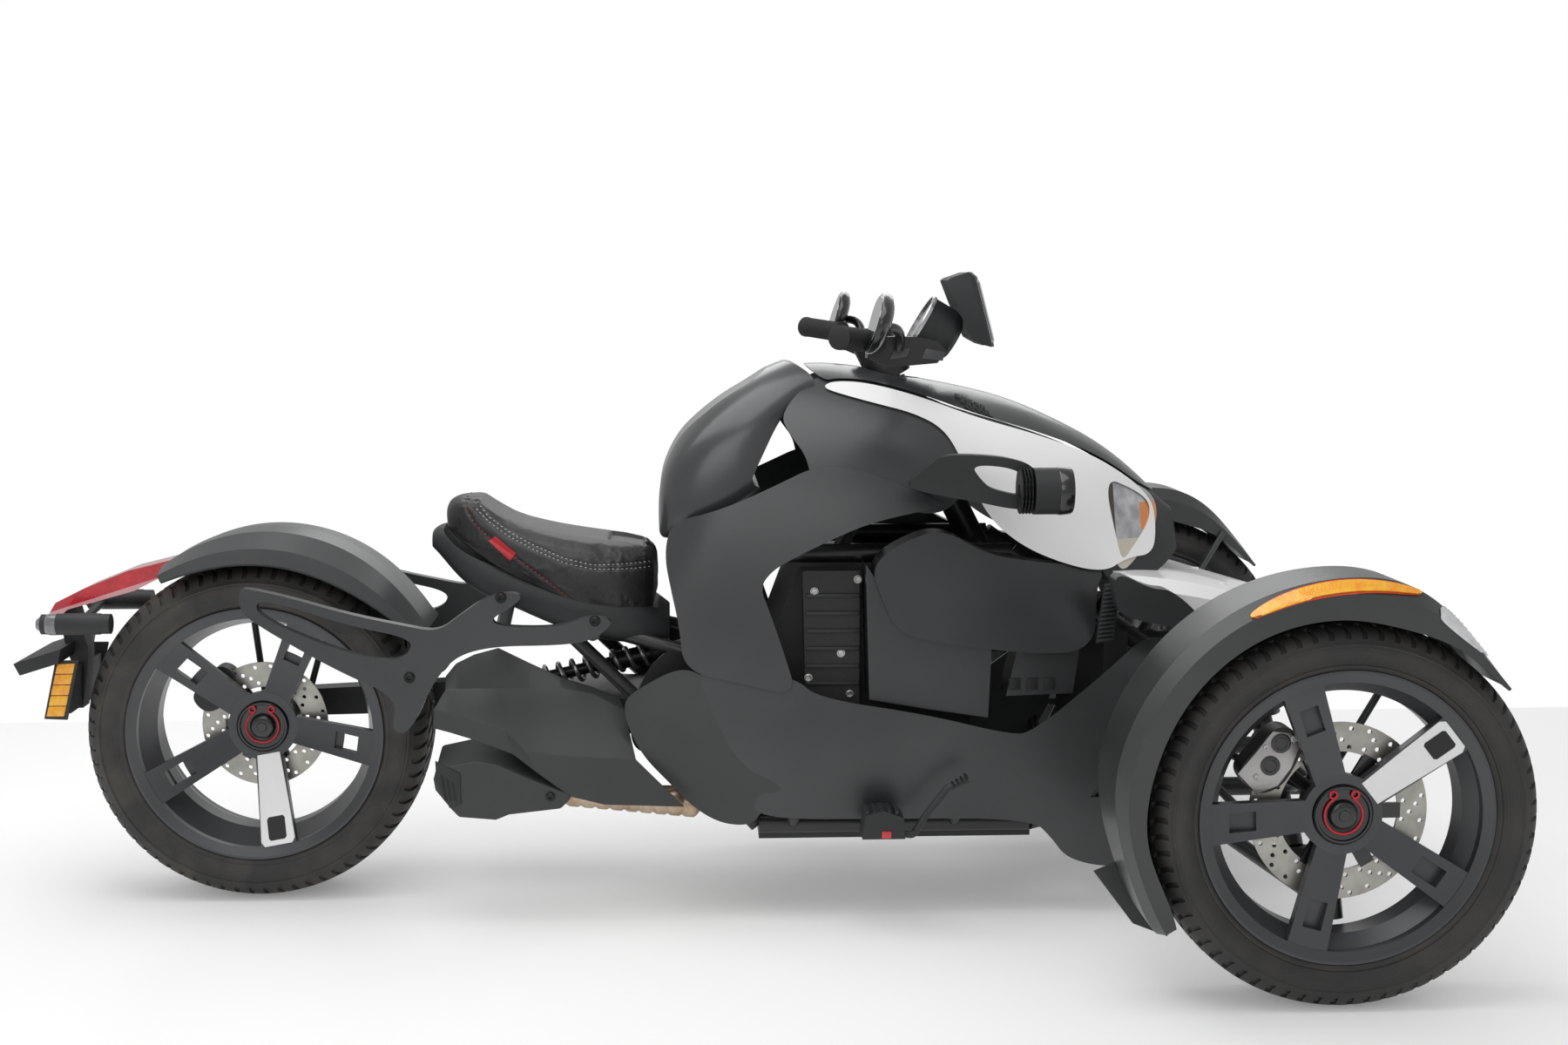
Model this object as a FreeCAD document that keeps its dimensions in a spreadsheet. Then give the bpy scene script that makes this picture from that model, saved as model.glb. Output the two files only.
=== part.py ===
import FreeCAD, Part
import math
import os
import re
import Sketcher
from FreeCAD import Placement, Rotation, Vector

# A three wheeled open roadster: two steered wheels in front, one wheel behind on a single-sided arm.
# X runs forward, Y to the left and Z up, in millimetres, from the middle of its footprint on the ground.
# Long stations are shares of the wheelbase, heights of the body are shares of the cowl's height, and
# widths of the body are shares of its half width.

doc = FreeCAD.newDocument("ThreeWheeledCar")
sheet = doc.addObject("Spreadsheet::Sheet", "Sizes")
aliases = []
nodes = {}


def size(alias, number):
    """Write one driving size, in millimetres or degrees, under its own name."""
    aliases.append(alias)
    row = len(aliases)
    sheet.set("A%d" % row, alias)
    sheet.set("B%d" % row, str(number))
    sheet.setAlias("B%d" % row, alias)


def sizes(**numbers):
    """Write several driving sizes at once."""
    for alias, number in numbers.items():
        size(alias, number)
    sheet.recompute()


def linked(expression):
    """Point the sizes named in an expression at their cells."""
    return re.sub(r"[a-z]\w*", lambda word: "Sizes." + word[0] if word[0] in aliases else word[0],
                  str(expression))


def value(expression):
    """Work an expression of named sizes out to a number."""
    return float(sheet.evalExpression(linked(expression)))


def bind(thing, **expressions):
    """Bind properties to expressions of named sizes."""
    for name, expression in expressions.items():
        thing.setExpression(name, linked(expression))


def move(thing, x=None, y=None, z=None):
    """Bind the place of an object to expressions of named sizes."""
    for axis, expression in (("x", x), ("y", y), ("z", z)):
        if expression is not None:
            thing.setExpression("Placement.Base." + axis, linked(expression))


def node(name, thing):
    """Keep an object as the sub-part of that name."""
    thing.Label = name
    nodes[name] = thing
    return thing


# Driving dimensions of the whole vehicle.
sizes(wheelbase=1709, half_track=670, rear_reach=400, cowl_height=930, body_half_width=285,
      front_tyre_radius=290, front_tyre_width=145, rear_tyre_radius=295.5, rear_tyre_width=205,
      rim_lip_radius=220.3, wall=3, shut_line=0.4, running_gap=0.06, seat_gap=0.3)

REAR_X = "(rear_reach - (rear_reach + wheelbase + front_tyre_radius) / 2)"
FRONT_X = "(%s + wheelbase)" % REAR_X
REAR_Z = "rear_tyre_radius"
FRONT_Z = "front_tyre_radius"


def along(share):
    """The X of a station, as a share of the wheelbase ahead of the rear axle."""
    return "(%s + wheelbase * %s)" % (REAR_X, share)


def up(share):
    """A height, as a share of the cowl's height."""
    return "(cowl_height * %s)" % share


def across(share):
    """A distance from the middle plane, as a share of the body's half width."""
    return "(body_half_width * %s)" % share


def at(x, y, z):
    """A point given as shares of the wheelbase, the body's half width and the cowl's height."""
    return (along(x), across(y), up(z))


def flat(points):
    """A side outline given as shares of the wheelbase and the cowl's height."""
    return [(along(x), up(z)) for x, z in points]


# Sketch and solid helpers.
SIDE = Rotation(Vector(1, 0, 0), 90)
ACROSS = Rotation(Vector(1, 1, 1), 120)
PLAN = Rotation()


def polygon(sketch, points):
    """Draw a closed outline of straight runs whose corners are bound to named sizes."""
    count = len(points)
    spots = [Vector(value(u), value(v), 0) for u, v in points]
    sketch.addGeometry([Part.LineSegment(spots[i], spots[(i + 1) % count]) for i in range(count)], False)
    rules = [Sketcher.Constraint("Coincident", i, 2, (i + 1) % count, 1) for i in range(count)]
    for i, spot in enumerate(spots):
        rules.append(Sketcher.Constraint("DistanceX", -1, 1, i, 1, spot.x))
        rules.append(Sketcher.Constraint("DistanceY", -1, 1, i, 1, spot.y))
    sketch.addConstraint(rules)
    for i, (u, v) in enumerate(points):
        sketch.setExpression("Constraints[%d]" % (count + 2 * i), linked(u))
        sketch.setExpression("Constraints[%d]" % (count + 2 * i + 1), linked(v))
    return sketch


def curve(sketch, points):
    """Draw a closed smooth outline whose control points are bound to named sizes."""
    count = len(points)
    spots = [Vector(value(u), value(v), 0) for u, v in points]
    line = Part.BSplineCurve()
    line.buildFromPolesMultsKnots(spots, [1] * (count + 1), list(range(count + 1)), True, 2)
    sketch.exposeInternalGeometry(sketch.addGeometry(line, False))
    first = [isinstance(shape, Part.Circle) for shape in sketch.Geometry].index(True)
    for i, (u, v) in enumerate(points):
        for way, expression, place in (("DistanceX", u, spots[i].x), ("DistanceY", v, spots[i].y)):
            rule = sketch.addConstraint(Sketcher.Constraint(way, -1, 1, first + i, 3, place))
            sketch.setExpression("Constraints[%d]" % rule, linked(expression))
    return sketch


def half_loop(sketch, points):
    """Draw a smooth line through bound control points, closed by a straight run along the middle."""
    count = len(points)
    spots = [Vector(value(u), value(v), 0) for u, v in points]
    line = Part.BSplineCurve()
    line.buildFromPolesMultsKnots(spots, [3] + [1] * (count - 3) + [3], list(range(count - 1)), False, 2)
    sketch.exposeInternalGeometry(sketch.addGeometry(line, False))
    first = [isinstance(shape, Part.Circle) for shape in sketch.Geometry].index(True)
    for i, (u, v) in enumerate(points):
        for way, expression, place in (("DistanceX", u, spots[i].x), ("DistanceY", v, spots[i].y)):
            rule = sketch.addConstraint(Sketcher.Constraint(way, -1, 1, first + i, 3, place))
            sketch.setExpression("Constraints[%d]" % rule, linked(expression))
    closing = sketch.addGeometry(Part.LineSegment(spots[-1], spots[0]), False)
    sketch.addConstraint([Sketcher.Constraint("Coincident", 0, 2, closing, 1),
                          Sketcher.Constraint("Coincident", closing, 2, 0, 1)])
    return sketch


def drawing(name, turn):
    """Start a sketch of its own in the side, across or plan view."""
    sketch = doc.addObject("Sketcher::SketchObject", name)
    sketch.Placement = Placement(Vector(), turn)
    return sketch


def extrusion(name, sketch, length):
    """Pull a sketch straight out by a named length."""
    solid = doc.addObject("Part::Extrusion", name)
    solid.Base = sketch
    solid.DirMode = "Normal"
    solid.Solid = True
    bind(solid, LengthFwd=length)
    return solid


def side_prism(name, points, inner, outer, smooth=True):
    """A right-hand slab of a side outline, from one distance off the middle plane to another."""
    sketch = drawing(name + "_outline", SIDE)
    (curve if smooth else polygon)(sketch, points)
    move(sketch, y="-(%s)" % inner)
    return extrusion(name, sketch, "(%s) - (%s)" % (outer, inner))


def slab(name, points, inner, outer, smooth=True):
    """A side outline of shares pulled between two shares of the half width."""
    return side_prism(name, flat(points), across(inner), across(outer), smooth)


def plan_prism(name, points, low, high, smooth=False):
    """A slab of a plan outline between two heights."""
    sketch = drawing(name + "_outline", PLAN)
    (curve if smooth else polygon)(sketch, points)
    move(sketch, z=low)
    return extrusion(name, sketch, "(%s) - (%s)" % (high, low))


def loft(name, sections):
    """A smooth solid through sketches."""
    solid = doc.addObject("Part::Loft", name)
    solid.Sections = sections
    solid.Solid = True
    solid.Ruled = False
    return solid


def fuse(name, shapes):
    solid = doc.addObject("Part::MultiFuse", name)
    solid.Shapes = shapes
    solid.Refine = True
    return solid


def cut(name, base, tool):
    solid = doc.addObject("Part::Cut", name)
    solid.Base = base
    solid.Tool = tool
    return solid


def common(name, base, tool):
    solid = doc.addObject("Part::Common", name)
    solid.Base = base
    solid.Tool = tool
    return solid


def mirrored(name, source):
    """The same piece on the other side of the middle plane."""
    solid = doc.addObject("Part::Mirroring", name)
    solid.Source = source
    solid.Normal = Vector(0, 1, 0)
    return solid


def both_sides(name, source):
    """A right-hand piece and its left-hand twin as one object of separate solids."""
    pair = doc.addObject("Part::Compound", name)
    pair.Links = [source, mirrored(name + "_left", source)]
    return pair


def rod(name, start, end, radius):
    """A round bar between two points, each given as three expressions."""
    bar = doc.addObject("Part::Cylinder", name)
    run = ["((%s) - (%s))" % pair for pair in zip(end, start)]
    way = "vector(%s; %s; %s)" % tuple(run)
    turn = "rotation(vcross(vector(0; 0; 1); %s); vangle(vector(0; 0; 1); %s))" % (way, way)
    bind(bar, Radius=radius, Height="sqrt(%s^2 + %s^2 + %s^2)" % tuple(run),
         Placement="placement(vector(%s; %s; %s); %s)" % (*start, turn))
    return bar


def crossbar(name, x, z, start_y, end_y, radius):
    """A round bar along Y."""
    return rod(name, (x, start_y, z), (x, end_y, z), radius)


def pipe(name, points, radius, bend):
    """A bent round bar along straight runs joined by tangent arcs of one bend radius."""
    spots = [Vector(*[value(part) for part in point]) for point in points]
    edges = []
    here = spots[0]
    for before, corner, after in zip(spots, spots[1:], spots[2:]):
        back = (before - corner).normalize()
        on = (after - corner).normalize()
        half = back.getAngle(on) / 2
        reach = value(bend) / math.tan(half)
        start = corner + back * reach
        end = corner + on * reach
        middle = (back + on).normalize()
        top = corner + middle * (value(bend) / math.sin(half) - value(bend))
        edges.append(Part.LineSegment(here, start).toShape())
        edges.append(Part.Arc(start, top, end).toShape())
        here = end
    edges.append(Part.LineSegment(here, spots[-1]).toShape())
    path = doc.addObject("Part::Feature", name + "_path")
    path.Shape = Part.Wire(edges)
    ring = doc.addObject("Part::Circle", name + "_ring")
    bind(ring, Radius=radius)
    ring.Placement = Placement(spots[0], Rotation(Vector(0, 0, 1), spots[1] - spots[0]))
    sweep = doc.addObject("Part::Sweep", name)
    sweep.Sections = [ring]
    sweep.Spine = (path, ["Edge%d" % (i + 1) for i in range(len(edges))])
    sweep.Solid = True
    return sweep


# Bodies made of sketched features.
def body(name):
    return doc.addObject("PartDesign::Body", name)


def sketch_in(owner, role, name, offset=None):
    """A sketch on one of a body's own planes, moved along the plane's normal by a named offset."""
    sketch = owner.newObject("Sketcher::SketchObject", name)
    plane = [item for item in owner.Origin.OriginFeatures if item.Role == role][0]
    sketch.AttachmentSupport = [(plane, "")]
    sketch.MapMode = "FlatFace"
    if offset is not None:
        sketch.setExpression("AttachmentOffset.Base.z", linked(offset))
    return sketch


def spun(owner, name, points, kind="PartDesign::Revolution"):
    """Revolve a closed outline of (radius, distance along Y) about the body's Y axis."""
    sketch = polygon(sketch_in(owner, "XY_Plane", name + "_section"), points)
    feature = owner.newObject(kind, name)
    feature.Profile = sketch
    feature.ReferenceAxis = (sketch, ["V_Axis"])
    feature.Angle = 360
    return feature


def padded(owner, name, draw, offset, length, kind="PartDesign::Pad"):
    """Pad or pocket a sketch drawn in the body's XZ plane, towards -Y for a pad."""
    sketch = sketch_in(owner, "XZ_Plane", name + "_sketch", offset)
    draw(sketch)
    feature = owner.newObject(kind, name)
    feature.Profile = sketch
    bind(feature, Length=length)
    return feature


def repeated(owner, name, features, count):
    """Repeat features round the body's Y axis."""
    pattern = owner.newObject("PartDesign::PolarPattern", name)
    pattern.Originals = features
    pattern.Axis = (features[0].Profile[0], ["N_Axis"])
    pattern.Angle = 360
    pattern.Occurrences = count
    owner.Tip = pattern
    return pattern


# Tyres, rims and discs. Each wheel is drawn about its own Y axis with its outer face towards -Y.
sizes(bead_radius=206, tyre_crown_drop=5, tread_groove_depth=6, tread_groove_width=7,
      front_rim_half=60, rear_rim_half=98, rim_wall=4, rim_well_radius=188, rim_well_half=20,
      rim_bead_width=14, rim_lip_width=5, spoke_hub_width=45, spoke_rim_width=62, spoke_thickness=16,
      spoke_tip_inset=6, spoke_pocket_length=42, spoke_pocket_width=29, spoke_pocket_depth=9,
      spoke_pocket_start=132, hub_radius=60, hub_recess_radius=46, hub_recess_depth=5,
      hub_nut_radius=21, hub_nut_height=9, front_hub_inset=27, rear_hub_inset=72, hub_depth=17,
      front_spoke_angle=38.4, rear_spoke_angle=280, axle_radius=15, axle_bore_depth=9,
      front_disc_radius=134, rear_disc_radius=110, disc_thickness=5, disc_band=34, disc_seat_radius=45,
      disc_seat_height=9, disc_arm_width=18)
SPOKES = 5
DISC_ARMS = 6


def tyre(name, radius, width, rim_half):
    """A tyre as one closed ring that seats on the rim's beads, with two water grooves."""
    part = body(name)
    half = "(%s / 2)" % width
    seat = "(%s - rim_lip_width)" % rim_half
    shoulder = "(%s - %s * 0.16)" % (radius, width)
    crown = "(%s - tyre_crown_drop)" % radius
    bulge = "((%s + bead_radius) / 2)" % radius
    right = [("bead_radius", seat), ("rim_lip_radius", seat), (bulge, half), (shoulder, half + " * 0.96"),
             (crown, half + " * 0.72"), (radius, half + " * 0.3")]
    left = [(r, "-" + y) for r, y in reversed(right)]
    spun(part, name + "_ring", right + left)
    floor = "(%s - tread_groove_depth)" % radius
    above = "(%s + tread_groove_depth)" % radius
    for side, share in (("out", -0.17), ("in", 0.17)):
        near = "(%s * %s - tread_groove_width / 2)" % (half, share)
        far = "(%s * %s + tread_groove_width / 2)" % (half, share)
        spun(part, "%s_groove_%s" % (name, side), [(floor, near), (above, near), (above, far), (floor, far)],
             "PartDesign::Groove")
    return part


def rim(name, rim_half, hub_inset):
    """A cast rim: dished spokes with a pocket each, a bored hub and a barrel with a well."""
    part = body(name)
    face = "(%s - %s)" % (rim_half, hub_inset)
    tip = "(%s - spoke_tip_inset)" % rim_half
    end = "(bead_radius - rim_wall * 0.75)"
    beyond = "(rim_lip_radius + rim_wall)"
    far = "(2 * %s)" % rim_half

    def spoke(sketch):
        polygon(sketch, [("hub_radius / 2", "-spoke_hub_width / 2"), (end, "-spoke_rim_width / 2"),
                         (end, "spoke_rim_width / 2"), ("hub_radius / 2", "spoke_hub_width / 2")])

    def pocket(sketch):
        low, high = "spoke_pocket_start", "(spoke_pocket_start + spoke_pocket_length)"
        polygon(sketch, [(low, "-spoke_pocket_width / 2"), (high, "-spoke_pocket_width / 2"),
                         (high, "spoke_pocket_width / 2"), (low, "spoke_pocket_width / 2")])

    arm = padded(part, name + "_spoke", spoke, "-" + rim_half, far)
    repeated(part, name + "_spokes", [arm], SPOKES)
    for side, depth, outward in (("front", "0", "-" + far), ("back", "spoke_thickness", far)):
        spun(part, "%s_%s_dish" % (name, side), [
            ("0", "-(%s - %s)" % (face, depth)), ("hub_radius", "-(%s - %s)" % (face, depth)),
            (end, "-(%s - %s)" % (tip, depth)), (beyond, "-(%s - %s)" % (tip, depth)),
            (beyond, outward), ("0", outward)], "PartDesign::Groove")
    floor = "-(%s + (%s - %s) / 2 - spoke_pocket_depth)" % (face, tip, face)
    hollow = padded(part, name + "_pocket", pocket, "-(%s)" % floor, rim_half, "PartDesign::Pocket")
    hollow.Reversed = True
    repeated(part, name + "_pockets", [hollow], SPOKES)
    seat = "(%s - rim_lip_width)" % rim_half
    shelf = "(%s - rim_bead_width)" % seat
    inside = "(bead_radius - rim_wall)"
    outer = [("rim_lip_radius", rim_half), ("rim_lip_radius", seat), ("bead_radius", seat),
             ("bead_radius", shelf), ("rim_well_radius", "rim_well_half")]
    inner = [("(rim_well_radius - rim_wall)", "rim_well_half"), (inside, shelf), (inside, seat),
             ("(rim_lip_radius - rim_wall)", rim_half)]
    minus = [(r, "-" + y) for r, y in outer]
    under = [(r, "-" + y) for r, y in inner]
    spun(part, name + "_barrel", outer + minus[::-1] + under[::-1] + inner)
    back = "-(%s - hub_depth)" % face
    spun(part, name + "_hub", [("0", "-" + face), ("hub_radius", "-" + face), ("hub_radius", back),
                               ("0", back)])
    sunk = "-(%s - hub_recess_depth)" % face
    spun(part, name + "_recess", [("hub_nut_radius", sunk), ("hub_recess_radius", sunk),
                                  ("hub_recess_radius", "-" + far), ("hub_nut_radius", "-" + far)],
         "PartDesign::Groove")
    bottom = "(%s - axle_bore_depth)" % back
    spun(part, name + "_bore", [("0", bottom), ("axle_radius + running_gap", bottom),
                                ("axle_radius + running_gap", back), ("0", back)], "PartDesign::Groove")
    return part


def disc(name, radius, seat):
    """A brake disc: a friction band on arms round a raised seat that meets the hub's back."""
    part = body(name)
    bore = "(axle_radius + running_gap)"
    near = "-(%s - disc_seat_height - disc_thickness)" % seat
    far = "-(%s - disc_seat_height)" % seat
    spun(part, name + "_band", [("%s - disc_band" % radius, near), (radius, near), (radius, far),
                                ("%s - disc_band" % radius, far)])
    spun(part, name + "_hat", [(bore, near), ("disc_seat_radius", near), ("disc_seat_radius", "-" + seat),
                               (bore, "-" + seat)])

    def arm(sketch):
        start, end = "(disc_seat_radius - disc_arm_width / 2)", "(%s - disc_band / 2)" % radius
        polygon(sketch, [(start, "-disc_arm_width / 2"), (end, "-disc_arm_width / 2"),
                         (end, "disc_arm_width / 2"), (start, "disc_arm_width / 2")])

    strut = padded(part, name + "_arm", arm, "-(%s)" % near, "disc_thickness")
    repeated(part, name + "_arms", [strut], DISC_ARMS)
    return part


def turned(thing, angle):
    """Turn a wheel part about its Y axis so that its first spoke leans forward and up by an angle."""
    thing.Placement = Placement(Vector(), Rotation(Vector(0, -1, 0), 1))
    bind(thing, **{"Placement.Rotation.Angle": angle})
    return thing


def wheel(prefix, radius, width, rim_half, hub_inset, disc_radius, angle, spot):
    """The tyre, rim and disc of one wheel, set on its axle."""
    parts = {"tyre": tyre(prefix + "_tyre_part", radius, width, rim_half),
             "rim": turned(rim(prefix + "_rim_part", rim_half, hub_inset), angle),
             "disc": disc(prefix + "_disc_part", disc_radius,
                          "(%s - %s - hub_depth)" % (rim_half, hub_inset))}
    for thing in parts.values():
        move(thing, *spot)
    return parts


rear_parts = wheel("rear", "rear_tyre_radius", "rear_tyre_width", "rear_rim_half", "rear_hub_inset",
                   "rear_disc_radius", "rear_spoke_angle", (REAR_X, "0", REAR_Z))
front_parts = wheel("front", "front_tyre_radius", "front_tyre_width", "front_rim_half", "front_hub_inset",
                    "front_disc_radius", "front_spoke_angle", (FRONT_X, "-half_track", FRONT_Z))
for kind in ("tyre", "rim", "disc"):
    node("rear_" + kind, rear_parts[kind])
    node("front_%s_right" % kind, front_parts[kind])
    node("front_%s_left" % kind, mirrored("front_%s_mirror" % kind, front_parts[kind]))


# Knuckles. The right one is drawn and mirrored: a bearing carrier and axle, two ball eyes on the
# kingpin's line, a steering arm, a caliper over the disc and the fender with its two stays.
sizes(king_low_drop=125, king_high_rise=140, king_low_inset=48, king_high_inset=85, king_low_lead=8,
      king_high_trail=12, ball_eye_radius=17, ball_eye_half=14, ball_pin_radius=8, ball_gap=1.5,
      carrier_radius=38, carrier_inner_inset=58, carrier_end_gap=1, knuckle_arm_radius=10,
      steer_arm_length=105, steer_eye_inset=63, steer_eye_drop=20, steer_eye_radius=14, steer_eye_half=11,
      steer_pin_radius=6, stay_plane_inset=90, stay_radius=6, stay_boss_radius=16,
      caliper_reach=121, caliper_outer=18, caliper_inner=25, caliper_slot_gap=1.5, caliper_arm_radius=9)

HUB_SEAT_F = "(half_track + front_rim_half - front_hub_inset - hub_depth)"
DISC_NEAR_F = "(%s - disc_seat_height - disc_thickness)" % HUB_SEAT_F
LOW_BALL = ("(%s + king_low_lead)" % FRONT_X, "(-half_track + king_low_inset)",
            "(%s - king_low_drop)" % FRONT_Z)
HIGH_BALL = ("(%s - king_high_trail)" % FRONT_X, "(-half_track + king_high_inset)",
             "(%s + king_high_rise)" % FRONT_Z)
KING_LENGTH = "sqrt(%s)" % " + ".join("(%s - %s)^2" % pair for pair in zip(HIGH_BALL, LOW_BALL))


def king(start, length):
    """A point on the kingpin's line, a length above one of its balls."""
    return tuple("(%s + (%s - %s) * (%s) / %s)" % (s, h, l, length, KING_LENGTH)
                 for s, h, l in zip(start, HIGH_BALL, LOW_BALL))


def king_rod(name, start, low, high, radius):
    return rod(name, king(start, low), king(start, high), radius)


carrier_in = "-half_track + carrier_inner_inset"
STEER_EYE = ("(%s - steer_arm_length)" % FRONT_X, "(-half_track + steer_eye_inset)",
             "(%s - steer_eye_drop)" % FRONT_Z)
STAY_HUB = (FRONT_X, "(-half_track + stay_plane_inset)", FRONT_Z)
carrier_spot = (FRONT_X, "(-half_track + carrier_inner_inset / 2)", FRONT_Z)

knuckle_metal = fuse("knuckle_metal", [
    crossbar("carrier", FRONT_X, FRONT_Z, carrier_in, "-(%s - carrier_end_gap)" % DISC_NEAR_F,
             "carrier_radius"),
    crossbar("front_axle", FRONT_X, FRONT_Z, carrier_in, "-(%s + axle_bore_depth * 0.9)" % HUB_SEAT_F,
             "axle_radius"),
    king_rod("low_eye", LOW_BALL, "-ball_eye_half", "ball_eye_half", "ball_eye_radius"),
    king_rod("high_eye", HIGH_BALL, "-ball_eye_half", "ball_eye_half", "ball_eye_radius"),
    rod("low_arm", carrier_spot, LOW_BALL, "knuckle_arm_radius"),
    rod("high_arm", carrier_spot, HIGH_BALL, "knuckle_arm_radius"),
    rod("steer_arm", carrier_spot, STEER_EYE, "knuckle_arm_radius"),
    king_rod("steer_eye", STEER_EYE, "-steer_eye_half", "steer_eye_half", "steer_eye_radius"),
    crossbar("stay_boss", FRONT_X, FRONT_Z, "-half_track + stay_plane_inset + stay_radius", carrier_in,
             "stay_boss_radius")])
knuckle_bores = fuse("knuckle_bores", [
    king_rod("low_bore", LOW_BALL, "-2 * ball_eye_half", "2 * ball_eye_half",
             "ball_pin_radius + running_gap"),
    king_rod("high_bore", HIGH_BALL, "-2 * ball_eye_half", "2 * ball_eye_half",
             "ball_pin_radius + running_gap"),
    king_rod("steer_bore", STEER_EYE, "-2 * steer_eye_half", "2 * steer_eye_half",
             "steer_pin_radius + running_gap")])

CALIPER_SHARES = ((-1.30, 0.52), (-1.06, 0.78), (-0.83, 1.08), (-0.60, 1.05), (-0.46, 0.84),
                  (-0.60, 0.52), (-0.76, 0.30), (-1.06, 0.22))
caliper_block = side_prism("caliper_block", [
    ("%s + caliper_reach * %s" % (FRONT_X, x), "%s + caliper_reach * %s" % (FRONT_Z, z))
    for x, z in CALIPER_SHARES], "(%s - caliper_inner)" % DISC_NEAR_F, "(%s + caliper_outer)" % DISC_NEAR_F)
caliper_slot = crossbar("caliper_slot", FRONT_X, FRONT_Z, "-(%s - caliper_slot_gap)" % DISC_NEAR_F,
                        "-(%s + disc_thickness + caliper_slot_gap)" % DISC_NEAR_F,
                        "front_disc_radius + caliper_slot_gap")
caliper = cut("caliper", caliper_block, caliper_slot)
caliper_arm = rod("caliper_arm", carrier_spot,
                  ("(%s - caliper_reach * 0.8)" % FRONT_X, "-(%s - caliper_inner * 0.7)" % DISC_NEAR_F,
                   "(%s + caliper_reach * 0.62)" % FRONT_Z), "caliper_arm_radius")
knuckle = cut("knuckle_bored", fuse("knuckle_whole", [knuckle_metal, caliper, caliper_arm]), knuckle_bores)
node("knuckle_right", knuckle)
node("knuckle_left", mirrored("knuckle_mirror", knuckle))


# Fenders: lofts of thin open channels that stand round the tyre at a row of angles.
sizes(front_fender_half=85, front_fender_edge=62, fender_wall=3.5, rear_fender_half=130,
      front_stay_high_angle=60, front_stay_low_angle=155, stay_reach_gap=18)


def spoke_sketch(name, angle, x, y, z):
    """A sketch whose X runs out from an axle at an angle above straight ahead, and whose Y is Y."""
    sketch = drawing(name, Rotation(Vector(0, -1, 0), angle))
    move(sketch, x, y, z)
    return sketch


# Angle, crest and edge, as shares of the tyre's radius.
FRONT_FENDER_SHARES = ((41, 1.038, 1.014), (55, 1.086, 1.010), (66, 1.158, 1.010), (77, 1.219, 1.007),
                       (92, 1.231, 1.028), (118, 1.226, 1.052), (143, 1.219, 1.048), (165, 1.212, 1.042),
                       (187, 1.160, 1.038), (211, 1.124, 1.031))


def fender_section(name, radius, half, edge, crest, low, angle, spot):
    """One channel: flanks up to the shoulders, a flatter crown, and the same line one wall inside."""
    sketch = spoke_sketch(name, angle, *spot)
    top = "(%s * %s)" % (radius, crest)
    foot = "(%s * %s)" % (radius, low)
    bend = "(%s - (%s - %s) * 0.35)" % (top, top, foot)
    outer = [(foot, half), (bend, half), (top, edge)]
    inner = [("(%s - fender_wall)" % top, "(%s - fender_wall)" % edge),
             ("(%s - fender_wall)" % bend, "(%s - fender_wall)" % half), (foot, "(%s - fender_wall)" % half)]
    left = [(r, "-" + y) for r, y in outer[::-1]]
    under = [(r, "-" + y) for r, y in inner[::-1]]
    return polygon(sketch, outer + left + under + inner)


front_fender_shell = loft("front_fender_shell", [
    fender_section("front_fender_%d" % i, FRONT_Z, "front_fender_half", "front_fender_edge", crest, low,
                   angle,
                   (FRONT_X, "-half_track", FRONT_Z))
    for i, (angle, crest, low) in enumerate(FRONT_FENDER_SHARES)])


def fender_stay(name, angle):
    reach = "(front_tyre_radius + stay_reach_gap)"
    return rod(name, STAY_HUB, ("(%s + %s * cos(%s * 1deg))" % (FRONT_X, reach, angle), STAY_HUB[1],
                                "(%s + %s * sin(%s * 1deg))" % (FRONT_Z, reach, angle)), "stay_radius")


stays = fuse("front_fender_stays", [fender_stay("stay_high", "front_stay_high_angle"),
                                    fender_stay("stay_low", "front_stay_low_angle")])
fender = cut("front_fender_seated", fuse("front_fender_whole", [front_fender_shell, stays]), knuckle)
node("front_fender_right", fender)
node("front_fender_left", mirrored("front_fender_mirror", fender))


# The rear fender rides on the swingarm and arches over the tyre.
# Angle, crest and edge, as shares of the tyre's radius.
REAR_FENDER_SHARES = ((31, 1.180, 1.120), (45, 1.190, 1.060), (60, 1.205, 1.030), (76, 1.205, 1.022),
                      (90, 1.190, 1.020), (104, 1.160, 1.022), (118, 1.120, 1.040))


def rear_section(name, crest, low, angle):
    """A thin arch: from one edge up over the crown and back one wall inside."""
    sketch = spoke_sketch(name, angle, REAR_X, None, REAR_Z)
    top = "(%s * %s)" % (REAR_Z, crest)
    foot = "(%s * %s)" % (REAR_Z, low)
    rise = "(%s - %s)" % (top, foot)
    outer = [(foot, "rear_fender_half"), ("(%s + %s * 0.5)" % (foot, rise), "rear_fender_half * 0.97"),
             ("(%s + %s * 0.95)" % (foot, rise), "rear_fender_half * 0.55"), (top, "0")]
    inner = [("(%s - fender_wall)" % r, y if y == "0" else "(%s - fender_wall)" % y) for r, y in outer]
    left = [(r, "-" + y) for r, y in outer[-2::-1]]
    under = [(r, "-" + y) for r, y in inner[:-1]]
    return polygon(sketch, outer + left + under + inner[::-1])


rear_fender_shell = loft("rear_fender_shell", [rear_section("rear_fender_%d" % i, crest, low, angle)
                                               for i, (angle, crest, low) in enumerate(REAR_FENDER_SHARES)])

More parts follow.
